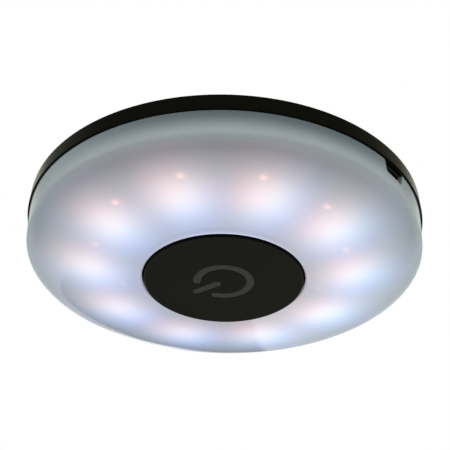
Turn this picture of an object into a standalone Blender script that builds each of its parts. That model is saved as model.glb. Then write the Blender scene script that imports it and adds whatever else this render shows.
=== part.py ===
# A round rechargeable puck light that hangs by its flat back face, with a push button in its middle.
# Lengths are in metres. +Z points up at the ceiling, and the origin is the centre of the back face,
# so every piece lies below it and every height below is negative.

import math

import bmesh
import bpy
from mathutils import Matrix, Vector

# Clearances
FIT_GAP = 0.0003
SEAT_GAP = 0.0002
OVERRUN = 0.0004
WELD = 0.00002

# Rear housing: the plate, the outer wall, the groove behind it and the ring that locates the diffuser
BACK_RADIUS = 0.0601
BACK_EDGE = 0.0004
WALL_DRAFT = 0.0006
WALL_DEPTH = 0.0054
WALL_EDGE = 0.0003
OUTER_WALL = 0.0018
PLATE = 0.0018
GROOVE_DEPTH = 0.0030
RING_WALL = 0.0011
RING_REACH = 0.0039

# Bosses that carry the LED board, with a rib from each to the ring
BOSS_INSET = 0.0099
BOSS_RADIUS = 0.0028
BOSS_HEIGHT = 0.0069
BOSS_ANGLES = (54.0, 126.0, 234.0, 306.0)
RIB_THICKNESS = 0.0011
RIB_HEIGHT = 0.0034
RIB_INNER_REACH = 0.0075

# Diffuser: a straight rim, a crown that flattens towards the centre hole, and a collar round the hole
RIM_STEP = 0.0006
RIM_HEIGHT = 0.0087
RIM_WALL = 0.0020
RIM_EDGE = 0.0003
CROWN_RISE = 0.01068
CROWN_POWER = 1.45
CROWN_WALL = 0.0017
HOLE_RADIUS = 0.02495
HOLE_EDGE = 0.0005
COLLAR_WALL = 0.0014
COLLAR_LENGTH = 0.0038

# Snap hooks on the diffuser's rim, in windows of the housing's ring
SNAP_COUNT = 5
SNAP_WIDTH = 0.0080
SNAP_HEIGHT = 0.0011
SNAP_REACH = 0.0009
SNAP_DROP = 0.0016

# Button
BUTTON_GAP = 0.00065
BUTTON_PROUD = 0.00085
BUTTON_FACE = 0.0018
BUTTON_SKIRT = 0.0015
BUTTON_EDGE = 0.0006
BUTTON_TRAVEL = 0.0006
FLANGE_LAP = 0.0018
FLANGE_THICKNESS = 0.0012
FLANGE_RUNNING_GAP = 0.0006
KEY_WIDTH = 0.0016
KEY_REACH = 0.0011
POST_RADIUS = 0.0044
SPRING_RIB_WALL = 0.0010
SPRING_RIB_HEIGHT = 0.0010

# On/off sign in the button's face: a broken ring and a bar
MARK_RADIUS = 0.00805
MARK_STROKE = 0.0024
MARK_DEPTH = 0.0005
MARK_SIDE_GAP = 0.00012
MARK_ANGLE = 144.0
MARK_HALF_OPENING = 36.0
MARK_BAR_START = 0.0024
MARK_BAR_END = 0.0101

# LED board and what stands on its front
BOARD_THICKNESS = 0.0016
BOARD_CLEARANCE = 0.0005
LED_COUNT = 10
LED_RING_RADIUS = 0.0385
LED_LENGTH = 0.0035
LED_WIDTH = 0.0028
LED_HEIGHT = 0.0007
LED_EDGE = 0.00012
LED_CUP_RADIUS = 0.00105
LED_CUP_DEPTH = 0.00025
RESISTOR_COUNT = 5
RESISTOR_RING_RADIUS = 0.0332
RESISTOR_LENGTH = 0.0020
RESISTOR_WIDTH = 0.00125
RESISTOR_HEIGHT = 0.0005

# Push switch
SWITCH_SIDE = 0.0060
SWITCH_HEIGHT = 0.0032
SWITCH_COVER = 0.0003
SWITCH_EDGE = 0.0003
PLUNGER_RADIUS = 0.00175
PLUNGER_PROUD = 0.0008
PLUNGER_LENGTH = 0.0022
PLUNGER_RUNNING_GAP = 0.0003

# Bracket that guides the button's post and bears the spring
FRAME_WALL = 0.0012
FRAME_FLOOR = 0.0012
BUSH_WALL = 0.0011
BUSH_REACH = 0.0022
POST_RUNNING_GAP = 0.0004
FRAME_BOSS_RADIUS = 0.0024
FRAME_SCREW_X = 0.0213
FRAME_SCREW_Y = 0.0085

# Spring
SPRING_WIRE = 0.0006
SPRING_SIDE_GAP = 0.0004
SPRING_TURNS = 4
SPRING_TURN_POINTS = 10

# Screws
SHANK_RADIUS = 0.0009
HEAD_RADIUS = 0.0019
HEAD_HEIGHT = 0.0012
HEAD_EDGE = 0.0005
HEAD_SLOT = 0.0005
HEAD_SLOT_REACH = 0.0011
SHANK_LENGTH = 0.0055
TIP_LENGTH = 0.0008
PILOT_SPARE = 0.0005

# Battery
CELL_WIDTH = 0.0340
CELL_LENGTH = 0.0500
CELL_THICKNESS = 0.0050
CELL_EDGE = 0.0014
PAD_THICKNESS = 0.0008
PAD_MARGIN = 0.0020
CIRCUIT_WIDTH = 0.0260
CIRCUIT_LENGTH = 0.0030
CIRCUIT_THICKNESS = 0.0012
FENCE_WALL = 0.0012
FENCE_HEIGHT = 0.0026
CELL_SIDE_GAP = 0.0004

# Battery connector and leads
HEADER_LENGTH = 0.0042
HEADER_WIDTH = 0.0050
HEADER_HEIGHT = 0.0034
HEADER_EDGE = 0.0003
PLUG_LENGTH = 0.0046
PLUG_WIDTH = 0.0042
PLUG_HEIGHT = 0.0026
HEADER_BOSS_GAP = 0.0016
PLUG_FENCE_GAP = 0.0036
LEAD_RADIUS = 0.0006
LEAD_PITCH = 0.0016
LEAD_START_X = -0.0060
LEAD_STRAIGHT = 0.0014
LEAD_POINTS = 16
LEAD_PULL_SHARE = 0.6

# Charging socket and its notch
SOCKET_ANGLE = -36.0
SOCKET_WIDTH = 0.0074
SOCKET_HEIGHT = 0.0024
SOCKET_LENGTH = 0.0056
SOCKET_WALL = 0.0003
SOCKET_CHAMFER = 0.0007
SOCKET_BACK = 0.0008
SOCKET_RECESS = 0.0007
TONGUE_WIDTH = 0.0042
TONGUE_HEIGHT = 0.0005
TONGUE_SETBACK = 0.0011
TONGUE_DROP = 0.00035
TAB_MARGIN = 0.0016
TAB_CLEARANCE = 0.0004
SLOT_SIDE_GAP = 0.0005
NOTCH_SIDE_GAP = 0.0004
NOTCH_FLARE = 0.0009
NOTCH_SILL = 0.0009
NOTCH_CORNER = 0.0010

# Charger and lamp driver parts on the board's back
CHIP_LENGTH = 0.0050
CHIP_WIDTH = 0.0040
CHIP_HEIGHT = 0.0015
CHIP_EDGE = 0.0002
CHIP_RADIUS = 0.0320
CHARGER_ANGLE = -10.0
DRIVER_ANGLE = 26.0
COIL_SIDE = 0.0042
COIL_HEIGHT = 0.0020
COIL_EDGE = 0.0007
COIL_ANGLE = 42.0
CAPACITOR_LENGTH = 0.0032
CAPACITOR_WIDTH = 0.0018
CAPACITOR_HEIGHT = 0.0014
CAPACITOR_CHIP_GAP = 0.0026
CAPACITOR_ANGLES = (-10.0, 26.0, 42.0, 150.0)
INDICATOR_LENGTH = 0.0016
INDICATOR_WIDTH = 0.0009
INDICATOR_HEIGHT = 0.0006
INDICATOR_SIDE_GAP = 0.0004

# Magnets, their pockets, and the ring groove that shows each one on the back face
MAGNET_RADIUS = 0.0070
MAGNET_THICKNESS = 0.0030
MAGNET_EDGE = 0.0003
MAGNET_ANGLES = (90.0, 210.0, 330.0)
MAGNET_MARGIN = 0.0014
POCKET_WALL = 0.0012
POCKET_FLOOR = 0.0009
POCKET_HEIGHT = 0.0028
WITNESS_WIDTH = 0.0005
WITNESS_DEPTH = 0.00025

# Steps round a full turn, and points along a curve
OUTER_STEPS = 72
BUTTON_STEPS = 60
FRAME_STEPS = 40
MAGNET_STEPS = 28
SMALL_STEPS = 14
CROWN_POINTS = 12
INNER_CROWN_POINTS = 6
CORNER_POINTS = 2
MARK_POINTS = 26
MARK_CAP_POINTS = 5

# Angles between faces, in degrees, past which an edge is shaded sharp and past which it is rounded
SHARP_ANGLE = 35.0
ROUNDED_ANGLE = 40.0

# Heights and radii that follow from the sizes above
WALL_RADIUS = BACK_RADIUS + WALL_DRAFT
WALL_END = -WALL_DEPTH
PLATE_FACE = -PLATE
RING_END = WALL_END - RING_REACH
RIM_RADIUS = WALL_RADIUS - RIM_STEP
RIM_INNER = RIM_RADIUS - RIM_WALL
RING_RADIUS = RIM_INNER - FIT_GAP
RING_INNER = RING_RADIUS - RING_WALL
BOSS_RING_RADIUS = RING_INNER - BOSS_INSET
RIM_TOP = WALL_END - FIT_GAP
RIM_END = RIM_TOP - RIM_HEIGHT
COLLAR_RADIUS = HOLE_RADIUS + COLLAR_WALL
BOSS_END = PLATE_FACE - BOSS_HEIGHT
BOARD_BACK = BOSS_END - FIT_GAP
BOARD_FRONT = BOARD_BACK - BOARD_THICKNESS
BOARD_RADIUS = RING_INNER - BOARD_CLEARANCE
PILOT_RADIUS = SHANK_RADIUS + FIT_GAP
CAPACITOR_RADIUS = CHIP_RADIUS + CHIP_WIDTH / 2 + CAPACITOR_CHIP_GAP + CAPACITOR_WIDTH / 2

# Colours as linear values, with roughness and metallic
HOUSING_BLACK = ((0.012, 0.012, 0.009), 0.50, 0.0)
BUTTON_BLACK = ((0.013, 0.013, 0.009), 0.62, 0.0)
MARK_GREY = ((0.052, 0.055, 0.042), 0.55, 0.0)
OPAL_WHITE = ((0.62, 0.64, 0.68), 0.18, 0.0)
WHITE_PLASTIC = ((0.75, 0.75, 0.73), 0.40, 0.0)
BOARD_WHITE = ((0.70, 0.72, 0.72), 0.35, 0.0)
LED_YELLOW = ((0.80, 0.66, 0.30), 0.35, 0.0)
CHIP_BLACK = ((0.018, 0.018, 0.020), 0.45, 0.0)
CERAMIC_TAN = ((0.42, 0.28, 0.17), 0.45, 0.0)
FERRITE_GREY = ((0.060, 0.060, 0.065), 0.60, 0.0)
LAMP_GREEN = ((0.25, 0.62, 0.28), 0.30, 0.0)
NICKEL = ((0.62, 0.60, 0.57), 0.22, 1.0)
STEEL = ((0.50, 0.50, 0.50), 0.35, 1.0)
SPRING_STEEL = ((0.42, 0.42, 0.43), 0.28, 1.0)
FOIL_SILVER = ((0.60, 0.61, 0.62), 0.38, 0.6)
FOAM_GREY = ((0.10, 0.10, 0.10), 0.90, 0.0)
CIRCUIT_AMBER = ((0.50, 0.26, 0.04), 0.35, 0.0)
CONNECTOR_CREAM = ((0.72, 0.68, 0.55), 0.45, 0.0)
LEAD_RED = ((0.55, 0.02, 0.02), 0.40, 0.0)
LEAD_BLACK = ((0.015, 0.015, 0.015), 0.40, 0.0)


# Scene and objects


def clear_scene():
    for obj in list(bpy.data.objects):
        bpy.data.objects.remove(obj, do_unlink=True)


def new_collection(name):
    collection = bpy.data.collections.new(name)
    bpy.context.scene.collection.children.link(collection)
    return collection


def new_material(name, look):
    colour, roughness, metallic = look
    material = bpy.data.materials.new(name)
    material.use_nodes = True
    shader = material.node_tree.nodes["Principled BSDF"]
    shader.inputs["Base Color"].default_value = (*colour, 1.0)
    shader.inputs["Roughness"].default_value = roughness
    shader.inputs["Metallic"].default_value = metallic
    material.diffuse_color = (*colour, 1.0)
    return material


def new_anchor(name):
    """An empty that carries the pieces of one body. Both stand on the light's axis."""
    anchor = bpy.data.objects.new(name, None)
    anchor.empty_display_size = BACK_RADIUS
    light.objects.link(anchor)
    return anchor


def helper(name, data):
    """A hidden object, for cutting or for building a piece."""
    obj = bpy.data.objects.new(name, data)
    obj.hide_render = True
    obj.display_type = "WIRE"
    cutters.objects.link(obj)
    return obj


def piece(obj, look, body):
    """Finishes a helper as a named piece: its modifiers become its mesh, which is shaded and coloured."""
    evaluated = obj.evaluated_get(bpy.context.evaluated_depsgraph_get())
    mesh = bpy.data.meshes.new_from_object(evaluated)
    obj.modifiers.clear()
    obj.data = mesh
    mesh.name = obj.name
    mesh.shade_smooth()
    mesh.set_sharp_from_angle(angle=math.radians(SHARP_ANGLE))
    show(obj, look, body)
    return obj


def show(obj, look, body):
    obj.data.materials.clear()
    obj.data.materials.append(new_material(obj.name, look))
    obj.hide_render = False
    obj.display_type = "TEXTURED"
    cutters.objects.unlink(obj)
    light.objects.link(obj)
    obj.parent = body


# Shapes


def mesh_of(bm, name):
    mesh = bpy.data.meshes.new(name)
    bm.to_mesh(mesh)
    bm.free()
    return mesh


def box(name, size, at=(0, 0, 0), turn=0.0):
    """A block of the given size, centred at a point and turned about Z by degrees."""
    bm = bmesh.new()
    bmesh.ops.create_cube(bm, size=1, matrix=Matrix.Diagonal((*size, 1)))
    obj = helper(name, mesh_of(bm, name))
    obj.location = at
    obj.rotation_euler.z = math.radians(turn)
    return obj


def cylinder(name, radius, top, bottom, at=(0, 0), steps=SMALL_STEPS):
    """An upright cylinder between two heights, its axis through a point of the plan."""
    bm = bmesh.new()
    bmesh.ops.create_cone(
        bm, cap_ends=True, segments=steps, radius1=radius, radius2=radius, depth=top - bottom
    )
    obj = helper(name, mesh_of(bm, name))
    obj.location = (*at, (top + bottom) / 2)
    return obj


def turned(name, profile, steps, closed):
    """A turned solid. The profile's (radius, height) points run down its outer side."""
    mesh = bpy.data.meshes.new(name)
    edges = [(i, i + 1) for i in range(len(profile) - 1)]
    if closed:
        edges.append((len(profile) - 1, 0))
    mesh.from_pydata([(radius, 0, height) for radius, height in profile], edges, [])
    obj = helper(name, mesh)
    screw = obj.modifiers.new("turn", "SCREW")
    screw.steps = steps
    screw.render_steps = steps
    screw.use_merge_vertices = True
    screw.merge_threshold = WELD
    return obj


def prism(name, outlines, thickness):
    """A flat plate of the outlines, centred on the XY plane, as a mesh with its caps welded on."""
    curve = bpy.data.curves.new(name, "CURVE")
    curve.dimensions = "2D"
    curve.fill_mode = "BOTH"
    curve.extrude = thickness / 2
    for outline in outlines:
        spline = curve.splines.new("POLY")
        spline.points.add(len(outline) - 1)
        for point, (x, y) in zip(spline.points, outline):
            point.co = (x, y, 0, 1)
        spline.use_cyclic_u = True
    return welded(name, curve)


def welded(name, curve):
    """The curve's solid as a mesh object, its loose caps welded to its sides."""
    source = helper(name + "_curve", curve)
    evaluated = source.evaluated_get(bpy.context.evaluated_depsgraph_get())
    mesh = bpy.data.meshes.new_from_object(evaluated)
    bm = bmesh.new()
    bm.from_mesh(mesh)
    bmesh.ops.remove_doubles(bm, verts=bm.verts, dist=WELD)
    bm.to_mesh(mesh)
    bm.free()
    obj = helper(name, mesh)
    obj.matrix_world = source.matrix_world
    bpy.data.objects.remove(source)
    return obj


def tube(name, points, radius, resolution):
    """A round wire through the points, with closed ends."""
    curve = bpy.data.curves.new(name, "CURVE")
    curve.dimensions = "3D"
    curve.bevel_depth = radius
    curve.bevel_resolution = resolution
    curve.use_fill_caps = True
    spline = curve.splines.new("POLY")
    spline.points.add(len(points) - 1)
    for point, place in zip(spline.points, points):
        point.co = (*place, 1)
    return helper(name, curve)


def bevel(obj, width, segments=2):
    modifier = obj.modifiers.new("edges", "BEVEL")
    modifier.width = width
    modifier.segments = segments
    modifier.limit_method = "ANGLE"
    modifier.angle_limit = math.radians(ROUNDED_ANGLE)


def combine(target, tool, operation):
    modifier = target.modifiers.new(tool.name, "BOOLEAN")
    modifier.operation = operation
    modifier.object = tool


def cut(target, tool):
    combine(target, tool, "DIFFERENCE")


def join(target, tool):
    combine(target, tool, "UNION")


def copies(name, template, places, look):
    """Numbered pieces that share the template's mesh, one at each place."""
    evaluated = template.evaluated_get(bpy.context.evaluated_depsgraph_get())
    mesh = bpy.data.meshes.new_from_object(evaluated)
    mesh.name = name
    mesh.shade_smooth()
    mesh.set_sharp_from_angle(angle=math.radians(SHARP_ANGLE))
    mesh.materials.clear()
    mesh.materials.append(new_material(name, look))
    for i, place in enumerate(places):
        copy = bpy.data.objects.new(f"{name}_{i + 1}", mesh)
        light.objects.link(copy)
        copy.parent = fixed
        copy.matrix_world = place


# Places and outlines


def polar(radius, degrees):
    angle = math.radians(degrees)
    return (radius * math.cos(angle), radius * math.sin(angle))


def arc(centre, radius, first, last, count):
    """Points on an arc from one angle to another, in degrees, ends included."""
    points = []
    for i in range(count + 1):
        x, y = polar(radius, first + (last - first) * i / count)
        points.append((centre[0] + x, centre[1] + y))
    return points


def rounded(corners):
    """The line through (x, y, radius) corners, each rounded by its radius or by what its sides allow."""
    points = []
    last = len(corners) - 1
    for i, (x, y, radius) in enumerate(corners):
        if radius == 0 or i in (0, last):
            points.append((x, y))
            continue
        here = Vector((x, y))
        before = Vector(corners[i - 1][:2]) - here
        after = Vector(corners[i + 1][:2]) - here
        half_angle = before.angle(after) / 2
        reach = min(radius / math.tan(half_angle), before.length / 2, after.length / 2)
        start = here + before.normalized() * reach
        end = here + after.normalized() * reach
        for step in range(CORNER_POINTS + 1):
            share = step / CORNER_POINTS
            bent = start * (1 - share) ** 2 + here * 2 * share * (1 - share) + end * share**2
            points.append(tuple(bent))
    return points


def crown_height(radius, edge_radius, start):
    """Height of the crown at a radius. It is the curve (r / edge)^power + (depth / rise)^power = 1."""
    share = (1 - (radius / edge_radius) ** CROWN_POWER) ** (1 / CROWN_POWER)
    return start - CROWN_RISE * share


def crown(edge_radius, start, end_radius, count):
    """Points down the crown, from its edge to the end radius, closest together at the edge."""
    last = math.acos((end_radius / edge_radius) ** (CROWN_POWER / 2))
    points = []
    for i in range(1, count + 1):
        radius = edge_radius * math.cos(last * i / count) ** (2 / CROWN_POWER)
        points.append((radius, crown_height(radius, edge_radius, start)))
    return points


HOLE_FACE = crown_height(HOLE_RADIUS, RIM_RADIUS, RIM_END)
COLLAR_END = HOLE_FACE + COLLAR_LENGTH
BUTTON_RADIUS = HOLE_RADIUS - BUTTON_GAP
BUTTON_FRONT = HOLE_FACE - BUTTON_PROUD
BUTTON_BACK = BUTTON_FRONT + BUTTON_FACE
FLANGE_RADIUS = HOLE_RADIUS + FLANGE_LAP
FLANGE_FRONT = COLLAR_END + FIT_GAP
FLANGE_BACK = FLANGE_FRONT + FLANGE_THICKNESS
FLOOR_FRONT = FLANGE_BACK + BUTTON_TRAVEL + FIT_GAP
FLOOR_BACK = FLOOR_FRONT + FRAME_FLOOR
FRAME_INNER = FLANGE_RADIUS + FLANGE_RUNNING_GAP
FRAME_RADIUS = FRAME_INNER + FRAME_WALL
BUSH_INNER = POST_RADIUS + POST_RUNNING_GAP
BUSH_RADIUS = BUSH_INNER + BUSH_WALL
BUSH_END = FLOOR_FRONT - BUSH_REACH
SPRING_RADIUS = BUSH_RADIUS + SPRING_SIDE_GAP + SPRING_WIRE / 2
SPRING_RIB_INNER = SPRING_RADIUS + SPRING_WIRE / 2 + SPRING_SIDE_GAP
SWITCH_BACK = BOARD_FRONT - SEAT_GAP
SWITCH_FRONT = SWITCH_BACK - SWITCH_HEIGHT
COVER_BACK = SWITCH_FRONT - SEAT_GAP
COVER_FRONT = COVER_BACK - SWITCH_COVER
PLUNGER_END = COVER_FRONT - PLUNGER_PROUD
POST_END = PLUNGER_END - FIT_GAP
PAD_BACK = PLATE_FACE - SEAT_GAP
CELL_BACK = PAD_BACK - PAD_THICKNESS - SEAT_GAP
FENCE_X = CELL_WIDTH / 2 + CELL_SIDE_GAP
FENCE_LOW_Y = -CELL_LENGTH / 2 - CELL_SIDE_GAP
CIRCUIT_LOW_Y = CELL_LENGTH / 2 + FIT_GAP
FENCE_HIGH_Y = CIRCUIT_LOW_Y + CIRCUIT_LENGTH + CELL_SIDE_GAP
POCKET_INNER = MAGNET_RADIUS + FIT_GAP
POCKET_RADIUS = POCKET_INNER + POCKET_WALL
MAGNET_RING_RADIUS = FENCE_HIGH_Y + FENCE_WALL + MAGNET_MARGIN + POCKET_RADIUS
SOCKET_FRONT = RIM_RADIUS - SOCKET_RECESS
SOCKET_MIDDLE = SOCKET_FRONT - SOCKET_LENGTH / 2
SOCKET_LOW = BOARD_BACK + SEAT_GAP
SOCKET_HIGH = SOCKET_LOW + SOCKET_HEIGHT
TAB_WIDTH = SOCKET_WIDTH + 2 * TAB_MARGIN
TAB_REACH = RIM_INNER - TAB_CLEARANCE


# Rear housing


def make_rear_housing():
    wall_inner = WALL_RADIUS - OUTER_WALL
    groove_end = WALL_END + GROOVE_DEPTH
    profile = rounded(
        [
            (0, 0, 0),
            (BACK_RADIUS, 0, BACK_EDGE),
            (WALL_RADIUS, WALL_END, WALL_EDGE),
            (wall_inner, WALL_END, 0),
            (wall_inner, groove_end, 0),
            (RING_RADIUS, groove_end, 0),
            (RING_RADIUS, RING_END, 0),
            (RING_INNER, RING_END, 0),
            (RING_INNER, PLATE_FACE, 0),
            (0, PLATE_FACE, 0),
        ]
    )
    housing = turned("rear_housing", profile, OUTER_STEPS, closed=False)
    add_boss_ribs(housing)
    add_pockets(housing)
    add_fence(housing)
    cut_snap_windows(housing)
    cut(housing, socket_window())
    cut_magnet_witness(housing)
    return piece(housing, HOUSING_BLACK, fixed)


def add_boss_ribs(housing):
    inner = BOSS_RING_RADIUS - RIB_INNER_REACH
    outer = RING_INNER + RING_WALL / 2
    rib_top = PLATE_FACE + OVERRUN
    for i, degrees in enumerate(BOSS_ANGLES):
        length = outer - inner
        middle = (outer + inner) / 2
        height = rib_top - PLATE_FACE + RIB_HEIGHT
        at = (*polar(middle, degrees), rib_top - height / 2)
        join(housing, box(f"rib_{i}", (length, RIB_THICKNESS, height), at, degrees))
    for i, degrees in enumerate(BOSS_ANGLES):
        at = polar(BOSS_RING_RADIUS, degrees)
        join(housing, cylinder(f"boss_{i}", BOSS_RADIUS, rib_top, BOSS_END, at))
        pilot_top = BOARD_FRONT - SEAT_GAP + SHANK_LENGTH + PILOT_SPARE
        cut(housing, cylinder(f"pilot_{i}", PILOT_RADIUS, pilot_top, BOSS_END - OVERRUN, at))


def add_pockets(housing):
    for i, degrees in enumerate(MAGNET_ANGLES):
        at = polar(MAGNET_RING_RADIUS, degrees)
        rim = PLATE_FACE - POCKET_HEIGHT
        wall = cylinder(f"pocket_{i}", POCKET_RADIUS, PLATE_FACE + OVERRUN, rim, at, MAGNET_STEPS)
        join(housing, wall)
        floor = -POCKET_FLOOR
        hollow = cylinder(f"hollow_{i}", POCKET_INNER, floor, rim - OVERRUN, at, MAGNET_STEPS)
        cut(housing, hollow)


def add_fence(housing):
    """A low wall round the battery, open over its floor."""
    middle_y = (FENCE_LOW_Y + FENCE_HIGH_Y) / 2
    length = FENCE_HIGH_Y - FENCE_LOW_Y
    top = PLATE_FACE + OVERRUN
    height = OVERRUN + FENCE_HEIGHT
    outer_size = (2 * (FENCE_X + FENCE_WALL), length + 2 * FENCE_WALL, height)
    fence = box("fence", outer_size, (0, middle_y, top - height / 2))
    inside = box("fence_inside", (2 * FENCE_X, length, height + 2 * OVERRUN))
    inside.location = fence.location
    cut(fence, inside)
    join(housing, fence)


def snap_height():
    """Middle height of the snap hooks and their windows."""
    return RIM_TOP - SNAP_DROP - SNAP_HEIGHT / 2


def cut_snap_windows(housing):
    size = (RING_WALL + 2 * OVERRUN, SNAP_WIDTH + 2 * FIT_GAP, SNAP_HEIGHT + 2 * FIT_GAP)
    for i in range(SNAP_COUNT):
        degrees = 360.0 * i / SNAP_COUNT
        at = (*polar((RING_RADIUS + RING_INNER) / 2, degrees), snap_height())
        cut(housing, box(f"snap_window_{i}", size, at, degrees))


def socket_window():
    """The opening in the housing for the socket and the board's tab."""
    width = TAB_WIDTH + 2 * SLOT_SIDE_GAP
    top = SOCKET_HIGH + FIT_GAP
    bottom = RING_END - OVERRUN
    inner = RING_INNER - OVERRUN
    outer = WALL_RADIUS + OVERRUN
    at = (*polar((inner + outer) / 2, SOCKET_ANGLE), (top + bottom) / 2)
    return box("socket_window", (outer - inner, width, top - bottom), at, SOCKET_ANGLE)


def cut_magnet_witness(housing):
    for i, degrees in enumerate(MAGNET_ANGLES):
        profile = [
            (POCKET_RADIUS, OVERRUN),
            (POCKET_RADIUS, -WITNESS_DEPTH),
            (POCKET_RADIUS - WITNESS_WIDTH, -WITNESS_DEPTH),
            (POCKET_RADIUS - WITNESS_WIDTH, OVERRUN),
        ]
        groove = turned(f"witness_{i}", profile, MAGNET_STEPS, closed=True)
        groove.location = (*polar(MAGNET_RING_RADIUS, degrees), 0)
        cut(housing, groove)


def make_magnets():
    back = -POCKET_FLOOR - SEAT_GAP
    for i, degrees in enumerate(MAGNET_ANGLES):
        at = polar(MAGNET_RING_RADIUS, degrees)
        front = back - MAGNET_THICKNESS
        magnet = cylinder(f"magnet_{i + 1}", MAGNET_RADIUS, back, front, at, MAGNET_STEPS)
        bevel(magnet, MAGNET_EDGE, 1)
        piece(magnet, NICKEL, fixed)


# Diffuser


def make_diffuser():
    inner_start = RIM_END + CROWN_WALL
    collar_root = crown_height(COLLAR_RADIUS, RIM_INNER, inner_start)
    outer = crown(RIM_RADIUS, RIM_END, HOLE_RADIUS, CROWN_POINTS)
    inner = crown(RIM_INNER, inner_start, COLLAR_RADIUS, INNER_CROWN_POINTS)
    corners = [(RIM_INNER, RIM_TOP, 0), (RIM_RADIUS, RIM_TOP, RIM_EDGE), (RIM_RADIUS, RIM_END, 0)]
    corners += [(radius, height, 0) for radius, height in outer[:-1]]
    corners += [
        (HOLE_RADIUS, HOLE_FACE, HOLE_EDGE),
        (HOLE_RADIUS, COLLAR_END, 0),
        (COLLAR_RADIUS, COLLAR_END, 0),
        (COLLAR_RADIUS, collar_root, 0),
    ]
    corners += [(radius, height, 0) for radius, height in reversed(inner[:-1])]
    corners.append((RIM_INNER, inner_start, 0))
    diffuser = turned("diffuser", rounded(corners), OUTER_STEPS, closed=True)
    add_snap_hooks(diffuser)
    cut(diffuser, notch_cutter())
    return piece(diffuser, OPAL_WHITE, fixed)


def add_snap_hooks(diffuser):
    inner = RIM_INNER - SNAP_REACH
    outer = RIM_INNER + RIM_WALL / 2
    size = (outer - inner, SNAP_WIDTH, SNAP_HEIGHT)
    for i in range(SNAP_COUNT):
        degrees = 360.0 * i / SNAP_COUNT
        at = (*polar((inner + outer) / 2, degrees), snap_height())
        join(diffuser, box(f"snap_hook_{i}", size, at, degrees))


def notch_cutter():
    """The notch in the rim, wider at its mouth, with its two lower corners eased."""
    bottom = SOCKET_LOW - NOTCH_SILL
    top = RIM_TOP + OVERRUN
    low_half = SOCKET_WIDTH / 2 + NOTCH_SIDE_GAP
    high_half = low_half + NOTCH_FLARE
    corners = [
        (-high_half, top, 0),
        (-low_half, bottom, NOTCH_CORNER),
        (low_half, bottom, NOTCH_CORNER),
        (high_half, top, 0),
    ]
    depth = RIM_WALL + 2 * SNAP_REACH + 2 * OVERRUN
    notch = prism("notch", [rounded(corners)], depth)
    stand_radial(notch, (RIM_RADIUS + RIM_INNER) / 2, SOCKET_ANGLE)
    return notch


def stand_radial(obj, radius, degrees):
    """Stands a plate on edge, its faces square to the radius: its X runs round and its Y up."""
    upright = Matrix.Rotation(math.radians(90.0), 4, "X")
    turn = Matrix.Rotation(math.radians(degrees + 90.0), 4, "Z")
    shift = Matrix.Translation((*polar(radius, degrees), 0))
    obj.matrix_world = shift @ turn @ upright


# Button, its sign and its spring


def make_button_cap():
    rib_outer = SPRING_RIB_INNER + SPRING_RIB_WALL
    rib_end = BUTTON_BACK + SPRING_RIB_HEIGHT
    skirt_inner = BUTTON_RADIUS - BUTTON_SKIRT
    profile = rounded(
        [
            (0, POST_END, 0),
            (POST_RADIUS, POST_END, WALL_EDGE),
            (POST_RADIUS, BUTTON_BACK, 0),
            (SPRING_RIB_INNER, BUTTON_BACK, 0),
            (SPRING_RIB_INNER, rib_end, 0),
            (rib_outer, rib_end, 0),
            (rib_outer, BUTTON_BACK, 0),
            (skirt_inner, BUTTON_BACK, 0),
            (skirt_inner, FLANGE_BACK, 0),
            (FLANGE_RADIUS, FLANGE_BACK, 0),
            (FLANGE_RADIUS, FLANGE_FRONT, 0),
            (BUTTON_RADIUS, FLANGE_FRONT, 0),
            (BUTTON_RADIUS, BUTTON_FRONT, BUTTON_EDGE),
            (0, BUTTON_FRONT, 0),
        ]
    )
    cap = turned("button_cap", profile, BUTTON_STEPS, closed=False)
    recess_depth = MARK_DEPTH + SEAT_GAP
    recess = prism("mark_recess", mark_outlines(MARK_SIDE_GAP), recess_depth + OVERRUN)
    recess.location.z = BUTTON_FRONT + (recess_depth - OVERRUN) / 2
    cut(cap, recess)
    cut(cap, key_slot())
    return piece(cap, BUTTON_BLACK, button)


def key_slot():
    """The slot in the button's flange for the bracket's key, which keeps the sign straight."""
    inner = FRAME_INNER - KEY_REACH - FIT_GAP
    outer = FLANGE_RADIUS + OVERRUN
    height = FLANGE_THICKNESS + 2 * OVERRUN
    size = (outer - inner, KEY_WIDTH + 2 * FIT_GAP, height)
    at = (*polar((inner + outer) / 2, MARK_ANGLE), (FLANGE_BACK + FLANGE_FRONT) / 2)
    return box("key_slot", size, at, MARK_ANGLE)


def mark_outlines(spread):
    """Outlines of the sign's broken ring and bar, each widened by the spread."""
    half = MARK_STROKE / 2 + spread
    first = MARK_ANGLE + MARK_HALF_OPENING
    last = MARK_ANGLE + 360.0 - MARK_HALF_OPENING
    ring = arc((0, 0), MARK_RADIUS + half, first, last, MARK_POINTS)
    ring += arc(polar(MARK_RADIUS, last), half, last, last + 180.0, MARK_CAP_POINTS)[1:-1]
    ring += arc((0, 0), MARK_RADIUS - half, last, first, MARK_POINTS)
    ring += arc(polar(MARK_RADIUS, first), half, first + 180.0, first + 360.0, MARK_CAP_POINTS)[1:-1]
    side = MARK_ANGLE + 90.0
    inner_end = polar(MARK_BAR_START, MARK_ANGLE)
    outer_end = polar(MARK_BAR_END, MARK_ANGLE)
    bar = arc(inner_end, half, side, side + 180.0, MARK_CAP_POINTS)
    bar += arc(outer_end, half, side + 180.0, side + 360.0, MARK_CAP_POINTS)
    return [ring, bar]


def make_power_mark():
    names = ("power_mark_ring", "power_mark_bar")
    for name, outline in zip(names, mark_outlines(0)):
        mark = prism(name, [outline], MARK_DEPTH)
        mark.location.z = BUTTON_FRONT + MARK_DEPTH / 2
        piece(mark, MARK_GREY, button)


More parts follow.
